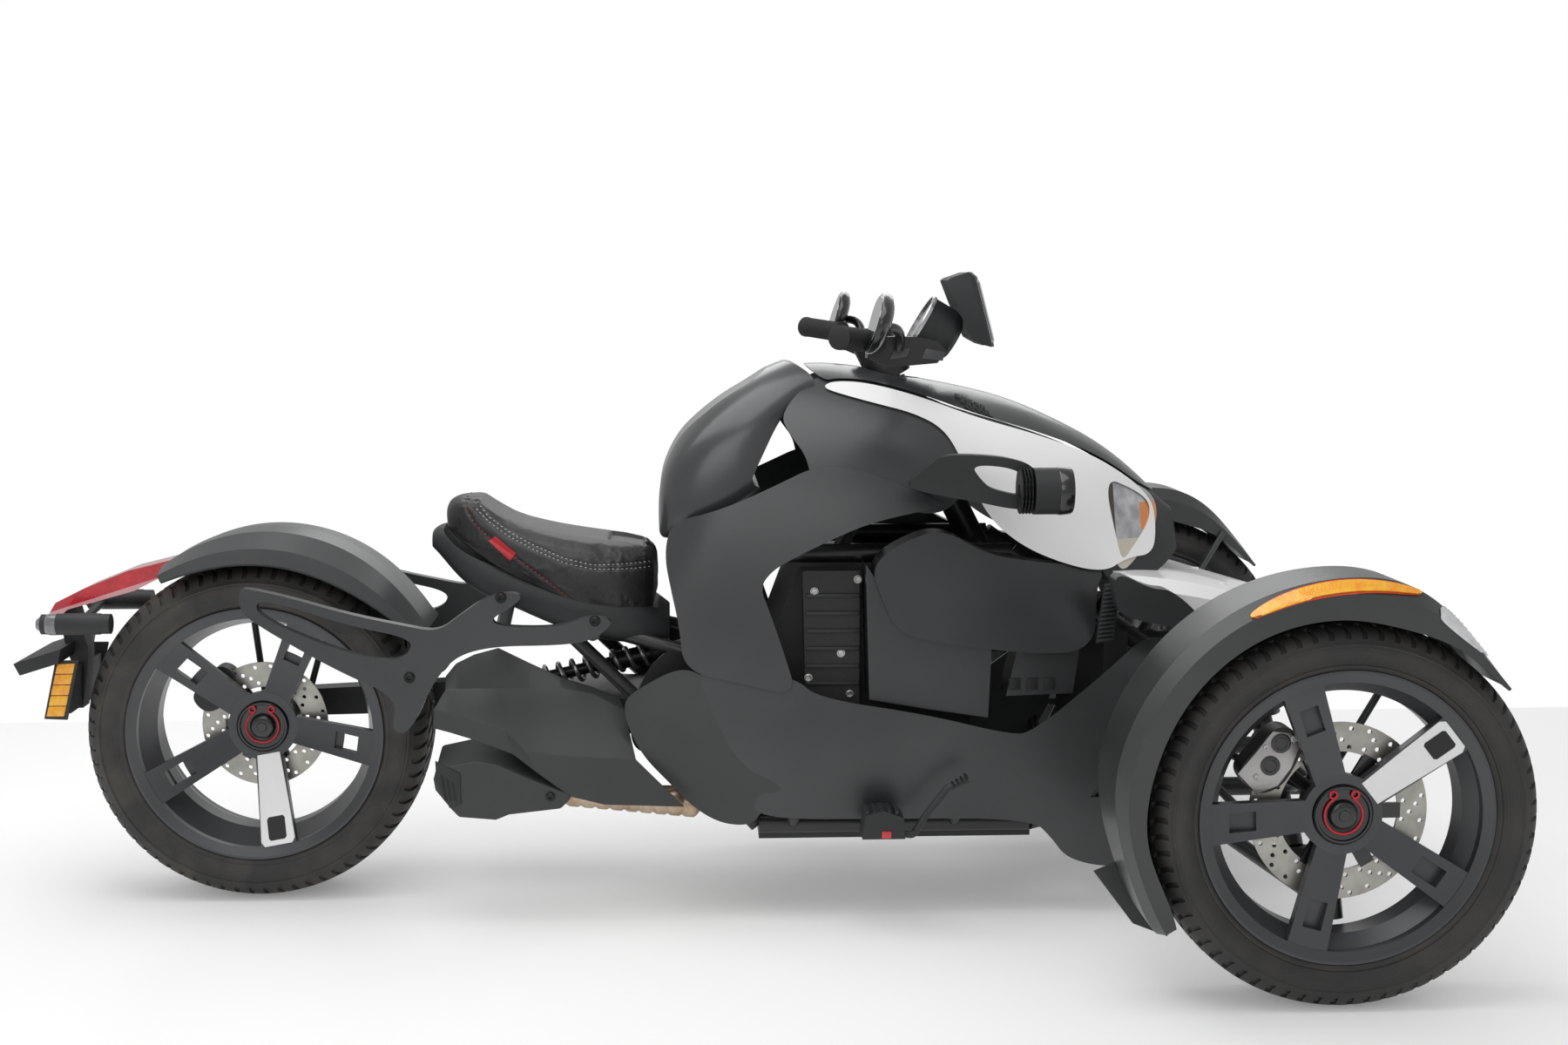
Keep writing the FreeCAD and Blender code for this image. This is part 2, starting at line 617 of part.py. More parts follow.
# The single-sided swingarm: a bridge in front of the tyre, a blade past its left side, and the
# bearing carrier that holds the axle.
sizes(pivot_share_x=0.404, pivot_height=330, pivot_radius=34, pivot_half=115, arm_low=285, arm_high=357,
      blade_gap=15, blade_width=46, carrier_rear_radius=46, rear_carrier_gap=1,
      rear_caliper_reach=98, arm_front_gap=45, caliper_rear_outer=20, caliper_rear_inner=22)
PIVOT_X = along("pivot_share_x")
BLADE_IN = "(rear_tyre_width / 2 + blade_gap)"
BLADE_OUT = "(rear_tyre_width / 2 + blade_gap + blade_width)"
ARM_FRONT = "(%s + rear_tyre_radius + arm_front_gap)" % REAR_X
DISC_NEAR_R = "(rear_rim_half - rear_hub_inset - hub_depth - disc_seat_height - disc_thickness)"
HUB_SEAT_R = "(rear_rim_half - rear_hub_inset - hub_depth)"

arm_plan = plan_prism("arm_plan", [
    ("%s + pivot_radius * 0.5" % PIVOT_X, "-pivot_half"), ("%s + pivot_radius * 0.5" % PIVOT_X, "pivot_half"),
    ("%s - pivot_radius * 1.6" % PIVOT_X, BLADE_IN), ("(%s + %s) / 2" % (PIVOT_X, ARM_FRONT), BLADE_OUT),
    (REAR_X, BLADE_OUT), (REAR_X, BLADE_IN), ("%s - arm_front_gap * 0.3" % ARM_FRONT, BLADE_IN),
    (ARM_FRONT, "%s * 0.7" % BLADE_IN), (ARM_FRONT, "-pivot_half * 0.55"),
    ("%s - pivot_radius * 3" % PIVOT_X, "-pivot_half")], "arm_low", "arm_high")
arm_side = side_prism("arm_side", [
    ("%s + pivot_radius" % PIVOT_X, "pivot_height + pivot_radius * 0.7"),
    ("%s - pivot_radius * 3" % PIVOT_X, "arm_high"),
    ("%s + carrier_rear_radius" % REAR_X, "%s + carrier_rear_radius * 0.8" % REAR_Z),
    ("%s - carrier_rear_radius * 1.3" % REAR_X, "%s + carrier_rear_radius * 0.5" % REAR_Z),
    ("%s - carrier_rear_radius * 1.3" % REAR_X, "%s - carrier_rear_radius * 0.7" % REAR_Z),
    ("%s + carrier_rear_radius * 2" % REAR_X, "arm_low"),
    ("%s + pivot_radius" % PIVOT_X, "pivot_height - pivot_radius")],
    "-" + BLADE_OUT, "pivot_half + pivot_radius", smooth=False)
swingarm_body = fuse("swingarm_body", [
    common("arm_form", arm_plan, arm_side),
    crossbar("pivot_tube", PIVOT_X, "pivot_height", "-1.04 * pivot_half", "1.04 * pivot_half",
             "pivot_radius"),
    crossbar("rear_carrier", REAR_X, REAR_Z, "-%s + rear_carrier_gap" % DISC_NEAR_R, BLADE_OUT,
             "carrier_rear_radius"),
    crossbar("rear_axle", REAR_X, REAR_Z, "-(%s + axle_bore_depth * 0.9)" % HUB_SEAT_R, BLADE_IN,
             "axle_radius")])
rear_caliper_block = side_prism("rear_caliper_block", [
    ("%s + rear_caliper_reach * %s" % (REAR_X, x), "%s + rear_caliper_reach * %s" % (REAR_Z, z))
    for x, z in CALIPER_SHARES], "(%s - caliper_rear_inner)" % DISC_NEAR_R,
    "(%s + caliper_rear_outer)" % DISC_NEAR_R)
rear_caliper = cut("rear_caliper", rear_caliper_block, crossbar(
    "rear_caliper_slot", REAR_X, REAR_Z, "-(%s - caliper_slot_gap)" % DISC_NEAR_R,
    "-(%s + disc_thickness + caliper_slot_gap)" % DISC_NEAR_R, "rear_disc_radius + caliper_slot_gap"))
rear_caliper_arm = rod("rear_caliper_arm", ("%s" % REAR_X, "carrier_rear_radius", REAR_Z),
                       ("(%s - rear_caliper_reach * 0.8)" % REAR_X,
                        "-(%s - caliper_rear_inner * 0.7)" % DISC_NEAR_R,
                        "(%s + rear_caliper_reach * 0.62)" % REAR_Z), "caliper_arm_radius")
swingarm = fuse("swingarm_whole", [swingarm_body, rear_caliper, rear_caliper_arm])

fender_stays = fuse("rear_fender_stays", [
    rod("rear_stay_front", ("%s + carrier_rear_radius" % REAR_X, "rear_fender_half", REAR_Z),
        ("%s + rear_tyre_radius * 0.45" % REAR_X, "rear_fender_half", "%s * 2.02" % REAR_Z), "stay_radius"),
    rod("rear_stay_back", ("%s - carrier_rear_radius * 0.5" % REAR_X, "rear_fender_half", REAR_Z),
        ("%s - rear_tyre_radius * 0.2" % REAR_X, "rear_fender_half", "%s * 2.06" % REAR_Z), "stay_radius")])
rear_fender = node("rear_fender", cut("rear_fender_seated", fuse("rear_fender_whole", [
    rear_fender_shell, fender_stays]), swingarm))


# The engine is one heavy block, with the side covers that show between the panels.
sizes(engine_back_share=0.509, engine_front_share=0.720, engine_half=165, engine_top=590,
      engine_cover_width=45, rail_half=220, rail_height=160, frame_tube_radius=16)
ENGINE_BACK = along("engine_back_share")
ENGINE_FRONT = along("engine_front_share")
ENGINE_LOW = "(rail_height + frame_tube_radius)"
engine_block = side_prism("engine_block_form", [
    (ENGINE_BACK, ENGINE_LOW), (ENGINE_FRONT, ENGINE_LOW), (ENGINE_FRONT, "engine_top * 0.8"),
    ("%s - engine_half * 0.5" % ENGINE_FRONT, "engine_top"), ("%s + engine_half * 0.4" % ENGINE_BACK,
                                                              "engine_top"),
    (ENGINE_BACK, "engine_top * 0.7")], "-engine_half", "engine_half", smooth=False)
ENGINE_COVER_SHARES = ((0.550, 0.634), (0.606, 0.634), (0.606, 0.387), (0.553, 0.387))
engine_cover = side_prism("engine_cover", flat(ENGINE_COVER_SHARES), "engine_half",
                          "engine_half + engine_cover_width", smooth=False)
engine = node("engine_block", fuse("engine_whole", [engine_block, both_sides("engine_covers", engine_cover)]))


# The frame: rails under and over the engine, a box in front that carries the suspension and the
# rack, shock towers, the steering column's tube, pivot plates and the seat's tubes. Each tube is a
# solid of its own, cut to the tubes that it is welded to.
sizes(box_back_share=0.913, box_front_share=1.077, box_low_half=160, box_low_height=200, box_high_half=200,
      box_high_height=400, box_high_back_share=0.936, box_high_front_share=1.053, tower_share=0.983,
      tower_half=240, tower_height=500, brace_radius=12, top_rail_half=150, top_rail_height=612,
      top_rail_front_share=0.761, top_rail_back_share=0.468, column_top_share=0.6495, column_top_height=900,
      column_angle=27, column_length=470, column_radius=24, stem_radius=17, stem_gap=0.06,
      plate_half=130, plate_wall=10, plate_top=455, plate_low=265, seat_tube_radius=12, seat_tube_half=120,
      rack_share=0.9415, rack_height=260, rack_radius=26, rack_bore_radius=21, rack_half=285,
      rack_bore_start=145, upright_radius=15, cross_tube_radius=14, tie_tube_radius=10, ear_offset=100,
      ear_half=18, ear_wall=8, ear_hole_radius=11, ear_hole_share=1.0954)


def column(length, side="0"):
    """A point on the steering column's line, a length below its top and to one side."""
    return ("(%s + (%s) * sin(column_angle * 1deg))" % (along("column_top_share"), length), side,
            "(column_top_height - (%s) * cos(column_angle * 1deg))" % length)


def spot(share, y, z):
    return (along(share), y, z)


BOX_LOW_BACK = spot("box_back_share", "-box_low_half", "box_low_height")
BOX_LOW_FRONT = spot("box_front_share", "-box_low_half", "box_low_height")
BOX_HIGH_BACK = spot("box_high_back_share", "-box_high_half", "box_high_height")
BOX_HIGH_FRONT = spot("box_high_front_share", "-box_high_half", "box_high_height")
TOWER = spot("tower_share", "-tower_half", "tower_height")
TOP_FRONT = spot("top_rail_front_share", "-top_rail_half", "top_rail_height")
TOP_BACK = spot("top_rail_back_share", "-top_rail_half", "top_rail_height")
RAIL_BACK = spot(0.506, "-rail_half", "rail_height")
RAIL_FRONT = spot(0.775, "-rail_half", "rail_height")
PLATE_SPOT = spot("pivot_share_x", "-plate_half - plate_wall / 2", "pivot_height")
PLATE_HIGH = spot(0.440, "-plate_half - plate_wall / 2", "plate_top - frame_tube_radius")

runs = {}


def tube(name, start, end, radius, solid=None):
    """A member of the frame, kept with its axis and the room that it takes round it."""
    bar = solid or rod(name, start, end, radius)
    line = Part.makeLine(*[Vector(*[value(part) for part in point]) for point in (start, end)])
    runs[bar.Name] = (line, value(radius))
    return bar


def crosstube(name, x, z, half, radius):
    return tube(name, (x, "-(%s)" % half, z), (x, half, z), radius)


def trimmed(member, others):
    """Cut a member back to the faces of the others whose room it enters."""
    line, room = runs[member.Name]
    for other in others:
        axis, reach = runs[other.Name]
        if line.distToShape(axis)[0] < room + reach:
            member = cut("%s_to_%s" % (member.Name.split("_to_")[0], other.Name.split("_to_")[0]), member,
                         other)
    runs[member.Name] = (line, room)
    return member


def welded(members, earlier):
    """Trim each member to the ones before it."""
    fitted = []
    for member in members:
        fitted.append(trimmed(member, earlier + fitted))
    return fitted


def left_of(members):
    """The members' twins on the left-hand side."""
    twins = []
    for member in members:
        line, room = runs[member.Name]
        twin = mirrored(member.Name.split("_to_")[0] + "_left", member)
        runs[twin.Name] = (line.mirror(Vector(), Vector(0, 1, 0)), room)
        twins.append(twin)
    return twins


side_members = [
    tube("rail", RAIL_BACK, RAIL_FRONT, "frame_tube_radius"),
    tube("rail_nose", RAIL_FRONT, BOX_LOW_BACK, "frame_tube_radius"),
    tube("rail_tail", RAIL_BACK, PLATE_SPOT, "frame_tube_radius"),
    tube("box_low", BOX_LOW_BACK, BOX_LOW_FRONT, "frame_tube_radius"),
    tube("box_high", BOX_HIGH_BACK, BOX_HIGH_FRONT, "frame_tube_radius"),
    tube("box_back", BOX_LOW_BACK, BOX_HIGH_BACK, "upright_radius"),
    tube("box_front", BOX_LOW_FRONT, BOX_HIGH_FRONT, "upright_radius"),
    tube("tower_back", BOX_HIGH_BACK, TOWER, "brace_radius"),
    tube("tower_front", BOX_HIGH_FRONT, TOWER, "brace_radius"),
    tube("top_nose", BOX_HIGH_BACK, TOP_FRONT, "frame_tube_radius"),
    tube("top_rail", TOP_FRONT, TOP_BACK, "frame_tube_radius"),
    tube("top_tail", TOP_BACK, PLATE_HIGH, "frame_tube_radius"),
    tube("column_brace", column("column_length * 0.2"), spot(0.585, "-top_rail_half", "top_rail_height"),
         "brace_radius"),
    tube("column_foot", column("column_length * 0.9"),
         spot(0.83, "-top_rail_half * 1.12", "top_rail_height * 0.86"), "brace_radius"),
    tube("seat_tube_high", PLATE_HIGH, spot(0.374, "-seat_tube_half", "plate_top * 1.03"),
         "seat_tube_radius"),
    tube("seat_tube_low", PLATE_SPOT, spot(0.307, "-seat_tube_half", "plate_top * 1.08"), "seat_tube_radius"),
    tube("pivot_plate", PLATE_SPOT, PLATE_HIGH, "plate_top - plate_low", side_prism(
        "pivot_plate", [(along(x), z) for x, z in (
            (0.375, "plate_low"), (0.425, "plate_low"), (0.470, "plate_top * 0.85"), (0.462, "plate_top"),
            (0.420, "plate_top"), (0.385, "plate_top * 0.85"))], "plate_half", "plate_half + plate_wall")),
    tube("rack_foot", spot("rack_share", "-box_low_half", "box_low_height"),
         spot("rack_share + 0.002", "-box_low_half * 0.9", "rack_height"), "brace_radius")]
cross_members = [crosstube("cross_" + name, x, z, half, radius) for name, x, z, half, radius in (
    ("engine_back", along(0.53), "rail_height", "rail_half", "cross_tube_radius"),
    ("engine_front", along(0.70), "rail_height", "rail_half", "cross_tube_radius"),
    ("low_back", along("box_back_share"), "box_low_height", "box_low_half", "cross_tube_radius"),
    ("low_front", along("box_front_share"), "box_low_height", "box_low_half", "cross_tube_radius"),
    ("high_back", along("box_high_back_share"), "box_high_height", "box_high_half", "cross_tube_radius"),
    ("high_front", along("box_high_front_share"), "box_high_height", "box_high_half", "cross_tube_radius"),
    ("tower", along("tower_share"), "tower_height", "tower_half", "tie_tube_radius"),
    ("top_front", column("column_length * 0.66")[0], "top_rail_height", "top_rail_half", "cross_tube_radius"),
    ("tank", along(0.475), "top_rail_height + frame_tube_radius * 1.6", "top_rail_half", "brace_radius"),
    ("pivot", PIVOT_X, "pivot_height", "plate_half + plate_wall", "stem_radius"),
    ("plate", along(0.440), "plate_top - frame_tube_radius * 1.5", "plate_half", "brace_radius"))]
column_solid = tube("column_solid", column("0"), column("column_length"), "column_radius")
rack_solid = crosstube("rack_solid", along("rack_share"), "rack_height", "rack_half", "rack_radius")
side_tubes = welded(side_members, [column_solid, rack_solid])
side_tubes += left_of(side_tubes)
cross_tubes = welded(cross_members, [column_solid, rack_solid] + side_tubes)
tubes = [column_solid, rack_solid] + side_tubes + cross_tubes
ear_out, ear_in = "(ear_offset + ear_half)", "(ear_offset - ear_half)"
EAR_BACK, EAR_FRONT = (spot(share, "-ear_offset", "box_low_height") for share in ("box_front_share", 1.1082))
ear_hole = rod("ear_hole", spot("ear_hole_share", "-ear_offset", "box_low_height - ear_wall"),
               spot("ear_hole_share", "-ear_offset", "box_low_height + ear_wall"), "ear_hole_radius")
tie_ear = tube("tie_ear", EAR_BACK, EAR_FRONT, "ear_half", cut("tie_ear", plan_prism("ear_plate", [
    (along("box_front_share"), "-" + ear_in), (along(1.100), "-" + ear_in),
    (along(1.1082), "-(ear_offset - ear_half / 2)"), (along(1.1082), "-(ear_offset + ear_half / 2)"),
    (along(1.100), "-" + ear_out), (along("box_front_share"), "-" + ear_out)],
    "box_low_height - ear_wall / 2", "box_low_height + ear_wall / 2"), ear_hole))
column_bore = rod("column_bore", column("-column_radius"), column("column_length + column_radius"),
                  "stem_radius + stem_gap")
rack_bore = crossbar("rack_bore", along("rack_share"), "rack_height", "-2 * rack_half", "-rack_bore_start",
                     "rack_bore_radius")
rack_bores = fuse("rack_bores", [rack_bore, mirrored("rack_bore_left", rack_bore)])
bored_tubes = [cut("column_tube", column_solid, column_bore), cut("rack_tube", rack_solid, rack_bores)]


# The body's master form: sections across the right half, each a station and a row of control points
# (share of the half width, share of the cowl's height) from the floor's middle up to the crest.
HULL_SHARES = (
    (0.368, ((0, 0.161), (0.60, 0.161), (0.75, 0.183), (0.86, 0.312), (0.79, 0.462), (0.72, 0.645),
             (0.56, 0.753), (0.33, 0.823), (0.10, 0.845), (0, 0.845))),
    (0.445, ((0, 0.140), (0.70, 0.140), (0.86, 0.161), (0.94, 0.312), (0.88, 0.473), (0.81, 0.688),
             (0.63, 0.817), (0.40, 0.892), (0.12, 0.920), (0, 0.920))),
    (0.515, ((0, 0.129), (0.76, 0.129), (0.92, 0.148), (0.99, 0.323), (0.92, 0.473), (0.87, 0.710),
             (0.71, 0.860), (0.46, 0.952), (0.14, 0.985), (0, 0.985))),
    (0.585, ((0, 0.129), (0.76, 0.129), (0.93, 0.148), (1.01, 0.323), (0.96, 0.473), (0.92, 0.710),
             (0.75, 0.860), (0.48, 0.962), (0.14, 1.000), (0, 1.000))),
    (0.673, ((0, 0.129), (0.76, 0.129), (0.93, 0.148), (1.01, 0.323), (0.97, 0.473), (0.94, 0.699),
             (0.77, 0.839), (0.48, 0.942), (0.14, 0.974), (0, 0.974))),
    (0.761, ((0, 0.129), (0.76, 0.129), (0.93, 0.148), (1.01, 0.323), (0.97, 0.473), (0.87, 0.667),
             (0.69, 0.796), (0.44, 0.890), (0.14, 0.937), (0, 0.937))),
    (0.819, ((0, 0.075), (0.76, 0.075), (0.93, 0.090), (1.01, 0.312), (0.97, 0.473), (0.77, 0.645),
             (0.59, 0.753), (0.40, 0.857), (0.14, 0.893), (0, 0.893))),
    (0.866, ((0, 0.055), (0.76, 0.055), (0.94, 0.075), (1.01, 0.301), (0.97, 0.462), (0.64, 0.624),
             (0.48, 0.710), (0.35, 0.819), (0.13, 0.845), (0, 0.845))),
    (0.913, ((0, 0.055), (0.76, 0.055), (0.94, 0.075), (1.00, 0.290), (0.95, 0.452), (0.50, 0.597),
             (0.36, 0.677), (0.22, 0.753), (0.10, 0.774), (0, 0.774))),
    (0.942, ((0, 0.055), (0.76, 0.055), (0.92, 0.075), (0.98, 0.285), (0.92, 0.441), (0.39, 0.581),
             (0.26, 0.656), (0.14, 0.715), (0.06, 0.730), (0, 0.730))))
# How far each control point moves in, along Y and Z, for one wall.
HULL_INWARD = ((0, 1), (-1, 1), (-1, 1), (-1, 0), (-1, 0), (-1, -0.3), (-1, -0.5), (-0.7, -0.9), (0, -1),
               (0, -1))


def hull(name, inset):
    """The right half of the body's form, its skin moved in by an inset."""
    sections = []
    for i, (share, half) in enumerate(HULL_SHARES):
        sketch = drawing("%s_%d" % (name, i), ACROSS)
        half_loop(sketch, [("-(%s + %s * %s)" % (across(y), inward, inset),
                            "(%s + %s * %s)" % (up(z), rise, inset))
                           for (y, z), (inward, rise) in zip(half, HULL_INWARD)])
        last = " - %s" % inset if i == len(HULL_SHARES) - 1 else ""
        move(sketch, x=along(share) + last)
        sections.append(sketch)
    return loft(name, sections)


outer_form = hull("outer_form", "0")
outer_inside = hull("outer_inside", "wall")
under_form = hull("under_form", "(wall + shut_line)")
under_inside = hull("under_inside", "(2 * wall + shut_line)")
outer_skin = cut("outer_skin", outer_form, outer_inside)
under_skin = cut("under_skin", under_form, under_inside)


def side_band(name, shares, smooth=True):
    """A side outline pulled from the middle plane out through the right side."""
    return side_prism(name, flat(shares), "-wall", "1.4 * body_half_width", smooth)


KNEE_SHARES = (
    (0.422, 0.723), (0.414, 0.667), (0.421, 0.602), (0.429, 0.538), (0.433, 0.460), (0.489, 0.439),
    (0.543, 0.417), (0.530, 0.495), (0.516, 0.570), (0.507, 0.611), (0.518, 0.639), (0.535, 0.659),
    (0.573, 0.694), (0.614, 0.727), (0.670, 0.749), (0.692, 0.752), (0.673, 0.772), (0.650, 0.789),
    (0.576, 0.837), (0.515, 0.783), (0.465, 0.744))
SHOULDER_SHARES = (
    (0.528, 0.916), (0.539, 0.876), (0.553, 0.844), (0.558, 0.801), (0.576, 0.790), (0.655, 0.742),
    (0.690, 0.742), (0.715, 0.796), (0.724, 0.860), (0.702, 0.927), (0.661, 0.952), (0.609, 0.984),
    (0.568, 0.984))
NOSE_SHARES = (
    (0.572, 0.962), (0.585, 0.972), (0.620, 0.968), (0.673, 0.942), (0.726, 0.905), (0.796, 0.869),
    (0.857, 0.826), (0.914, 0.753), (0.916, 0.699), (0.909, 0.648), (0.878, 0.648), (0.848, 0.624),
    (0.784, 0.661), (0.746, 0.704), (0.723, 0.755), (0.705, 0.841), (0.690, 0.889), (0.661, 0.916),
    (0.626, 0.932), (0.585, 0.952))
COWL_SHARES = (
    (0.914, 0.758), (0.857, 0.831), (0.796, 0.874), (0.726, 0.911), (0.673, 0.947), (0.620, 0.973),
    (0.588, 0.977), (0.573, 0.971), (0.541, 1.032), (0.614, 1.075), (0.761, 1.054), (0.866, 0.946),
    (0.960, 0.817), (0.960, 0.742))
WINDOW_SHARES = ((0.858, 0.792), (0.888, 0.771), (0.911, 0.743), (0.909, 0.710), (0.888, 0.667),
                 (0.872, 0.640), (0.868, 0.677))
LENS_SHARES = ((0.850, 0.801), (0.886, 0.784), (0.920, 0.753), (0.919, 0.701), (0.892, 0.647),
               (0.867, 0.618), (0.861, 0.688))
SURROUND_SHARES = (
    (0.837, 0.817), (0.878, 0.798), (0.922, 0.761), (0.960, 0.747), (0.960, 0.688), (0.930, 0.634),
    (0.895, 0.604), (0.860, 0.597), (0.843, 0.645), (0.834, 0.731))
LOWER_SHARES = (
    (0.440, 0.489), (0.541, 0.452), (0.561, 0.415), (0.667, 0.385), (0.752, 0.345), (0.774, 0.352),
    (0.846, 0.459), (0.886, 0.514), (0.922, 0.503), (0.895, 0.430), (0.872, 0.360), (0.857, 0.285),
    (0.854, 0.204), (0.872, 0.090), (0.813, 0.103), (0.793, 0.154), (0.775, 0.185), (0.644, 0.191),
    (0.502, 0.191), (0.501, 0.239), (0.528, 0.243), (0.524, 0.261), (0.489, 0.288), (0.462, 0.376))
SILL_SHARES = (
    (0.372, 0.392), (0.383, 0.423), (0.440, 0.478), (0.475, 0.400), (0.505, 0.315), (0.545, 0.270),
    (0.545, 0.225), (0.510, 0.215), (0.499, 0.176), (0.456, 0.187), (0.410, 0.267), (0.386, 0.323))
VENT_SHARES = (
    ((0.869, 0.392), (0.884, 0.392), (0.872, 0.349), (0.860, 0.349)),
    ((0.860, 0.339), (0.869, 0.339), (0.854, 0.290), (0.846, 0.290)),
    ((0.846, 0.280), (0.854, 0.276), (0.841, 0.229), (0.831, 0.229)))

# Outer panels lie over the edges of the under panels. Each is drawn on the right and mirrored.
sizes(riser_hole_radius=44)
lens_band = side_band("lens_band", LENS_SHARES)
lower_band = side_band("lower_band", LOWER_SHARES)
vents = fuse("vents", [side_band("vent_%d" % i, shares, False) for i, shares in enumerate(VENT_SHARES)])
riser_hole = rod("riser_hole", column("-3 * column_radius"), column("column_radius"), "riser_hole_radius")


def panel(name, skin, region):
    return node(name, both_sides(name + "_pair", common(name + "_right", skin, region)))


def crest(name, skin, region, hole=None):
    """A panel that runs over the crest from one side to the other."""
    half = common(name + "_half", skin, region)
    whole = fuse(name + "_whole", [half, mirrored(name + "_other", half)])
    return node(name, cut(name + "_open", whole, hole) if hole else whole)


panel("knee_panels", outer_skin, side_band("knee_band", KNEE_SHARES))
panel("nose_panels", outer_skin, cut("nose_region", side_band("nose_band", NOSE_SHARES),
                                     side_band("window", WINDOW_SHARES)))
crest("top_cowl", outer_skin, side_band("cowl_band", COWL_SHARES), riser_hole)
panel("shoulder_panels", under_skin, side_band("shoulder_band", SHOULDER_SHARES))
panel("headlight", under_skin, lens_band)
crest("headlight_surround", under_skin, cut("surround_region", side_band("surround_band", SURROUND_SHARES),
                                            lens_band))
panel("lower_panels", under_skin, cut("lower_region", lower_band, vents))
panel("sill_panels", under_skin, cut("sill_region", side_band("sill_band", SILL_SHARES), lower_band))

# Stays from the frame out to the under panels' inner faces.
stay_ends = (
    ("rail_back", spot(0.54, "-rail_half", "rail_height"),
     spot(0.54, "-1.2 * body_half_width", "rail_height * 1.6")),
    ("rail_mid", spot(0.70, "-rail_half", "rail_height"),
     spot(0.70, "-1.2 * body_half_width", "rail_height * 1.6")),
    ("rail_nose", spot(0.83, "-rail_half * 0.9", "rail_height * 1.15"),
     spot(0.83, "-1.2 * body_half_width", "rail_height * 1.6")),
    ("sill", spot(0.440, "-plate_half", "pivot_height * 1.2"),
     spot(0.440, "-1.2 * body_half_width", "pivot_height * 1.05")),
    ("shoulder", column("column_length * 0.15"), spot(0.66, "-body_half_width", "column_top_height * 0.88")),
    ("nose", spot(0.848, "-top_rail_half * 1.1", "top_rail_height * 0.83"),
     spot(0.866, "-body_half_width", "top_rail_height * 0.99")))
panel_stays = welded([
    tube("panel_stay_" + name, start, end, "brace_radius",
         common("panel_stay_" + name, rod(name + "_rod", start, end, "brace_radius"), under_inside))
    for name, start, end in stay_ends] + [tie_ear], tubes)
panel_stays += left_of(panel_stays)
frame = doc.addObject("Part::Compound", "main_frame")
frame.Links = bored_tubes + side_tubes + cross_tubes + panel_stays
node("main_frame", frame)


def near(back, front, half, low, high):
    """The frame's members that reach into a stretch given in shares, as wide as half to each side."""
    start, end = (Vector(*[value(part) for part in at(*spot)]) for spot in ((back, -half, low),
                                                                            (front, half, high)))
    room = Part.makeBox(*(end - start), start)
    return [member for member in tubes + panel_stays
            if room.distToShape(runs[member.Name][0])[0] < runs[member.Name][1]]


# Pieces seated on the frame. Their points are shares of the wheelbase, the half width and the height.
def across_prism(name, points, back, front):
    """An outline of shares seen from the front, pulled between two stations."""
    sketch = polygon(drawing(name + "_outline", ACROSS), [(across(y), up(z)) for y, z in points])
    move(sketch, x=along(back))
    return extrusion(name, sketch, "%s - %s" % (along(front), along(back)))


def seated(name, shape, *carriers):
    """A piece cut back to the faces of what it stands on."""
    for i, carrier in enumerate(carriers):
        shape = cut("%s_on_%d" % (name, i), shape, carrier)
    return node(name, shape)


def stations(name, rows, ring):
    """A smooth solid through sections: each a station, a half width and a low and a high share."""
    sections = []
    for i, (x, half, low, high) in enumerate(rows):
        sketch = curve(drawing("%s_%d" % (name, i), ACROSS), [
            (across("%s * (%s)" % (half, y)), up("(%s + (%s - %s) * %s)" % (low, high, low, z))) for y,
            z in ring])
        move(sketch, x=along(x))
        sections.append(sketch)
    return loft(name, sections)


# Control points round a section, as shares of its half width and of its height.
CUSHION_RING = ((0.55, 0), (1, 0.05), (1.05, 0.55), (0.85, 0.98), (0.3, 1.05), (-0.3, 1.05), (-0.85, 0.98),
                (-1.05, 0.55), (-1, 0.05), (-0.55, 0))
TANK_RING = ((0.4, 0), (0.95, 0.05), (1, 0.3), (0.9, 0.78), (0.5, 0.98), (0, 1.02), (-0.5, 0.98),
             (-0.9, 0.78), (-1, 0.3), (-0.95, 0.05), (-0.4, 0))

# Seat, its pan and the tank's cover. Each row is a station, a half width, a low and a high share.
SEAT_ROWS = ((0.1902, 0.2105, 0.6882, 0.7419), (0.2136, 0.3333, 0.6452, 0.7527),
             (0.2516, 0.4211, 0.6183, 0.7226),
             (0.3043, 0.4912, 0.5914, 0.6935), (0.3599, 0.4912, 0.5645, 0.6828),
             (0.4073, 0.3333, 0.543, 0.6452))
PAN_ROWS = ((0.1785, 0.1754, 0.6581, 0.6882), (0.196, 0.2526, 0.6237, 0.6935), (0.2194, 0.3439, 0.586, 0.672),
            (0.2516, 0.414, 0.5591, 0.6452), (0.3072, 0.4772, 0.5161, 0.6183),
            (0.3599, 0.4842, 0.4892, 0.5914),
            (0.4184, 0.386, 0.486, 0.5323))
TANK_ROWS = ((0.4084, 0.3509, 0.672, 0.7849), (0.4242, 0.5439, 0.6774, 0.8602),
             (0.4564, 0.6035, 0.6935, 0.9247),
             (0.4974, 0.6035, 0.7312, 0.9731), (0.5383, 0.5263, 0.7957, 1.0054),
             (0.5793, 0.4211, 0.9032, 1.0108))
TANK_SHARES = (
    (0.410, 0.669), (0.408, 0.731), (0.410, 0.785), (0.417, 0.826), (0.430, 0.869), (0.448, 0.901),
    (0.474, 0.939), (0.503, 0.970), (0.535, 1.016), (0.571, 0.973), (0.550, 0.941), (0.530, 0.909),
    (0.506, 0.817), (0.499, 0.788), (0.516, 0.776), (0.468, 0.731))
seated("swingarm", swingarm, *near(0.03, 0.44, 0.6, 0.26, 0.44))
seat = node("seat", stations("seat_form", SEAT_ROWS, CUSHION_RING))
seat_pan = seated("seat_pan", stations("seat_pan_form", PAN_ROWS, CUSHION_RING), seat,
                  *near(0.17, 0.425, 0.55, 0.47, 0.71))
tank_band = side_prism("tank_band", flat(TANK_SHARES), "-body_half_width", "body_half_width")
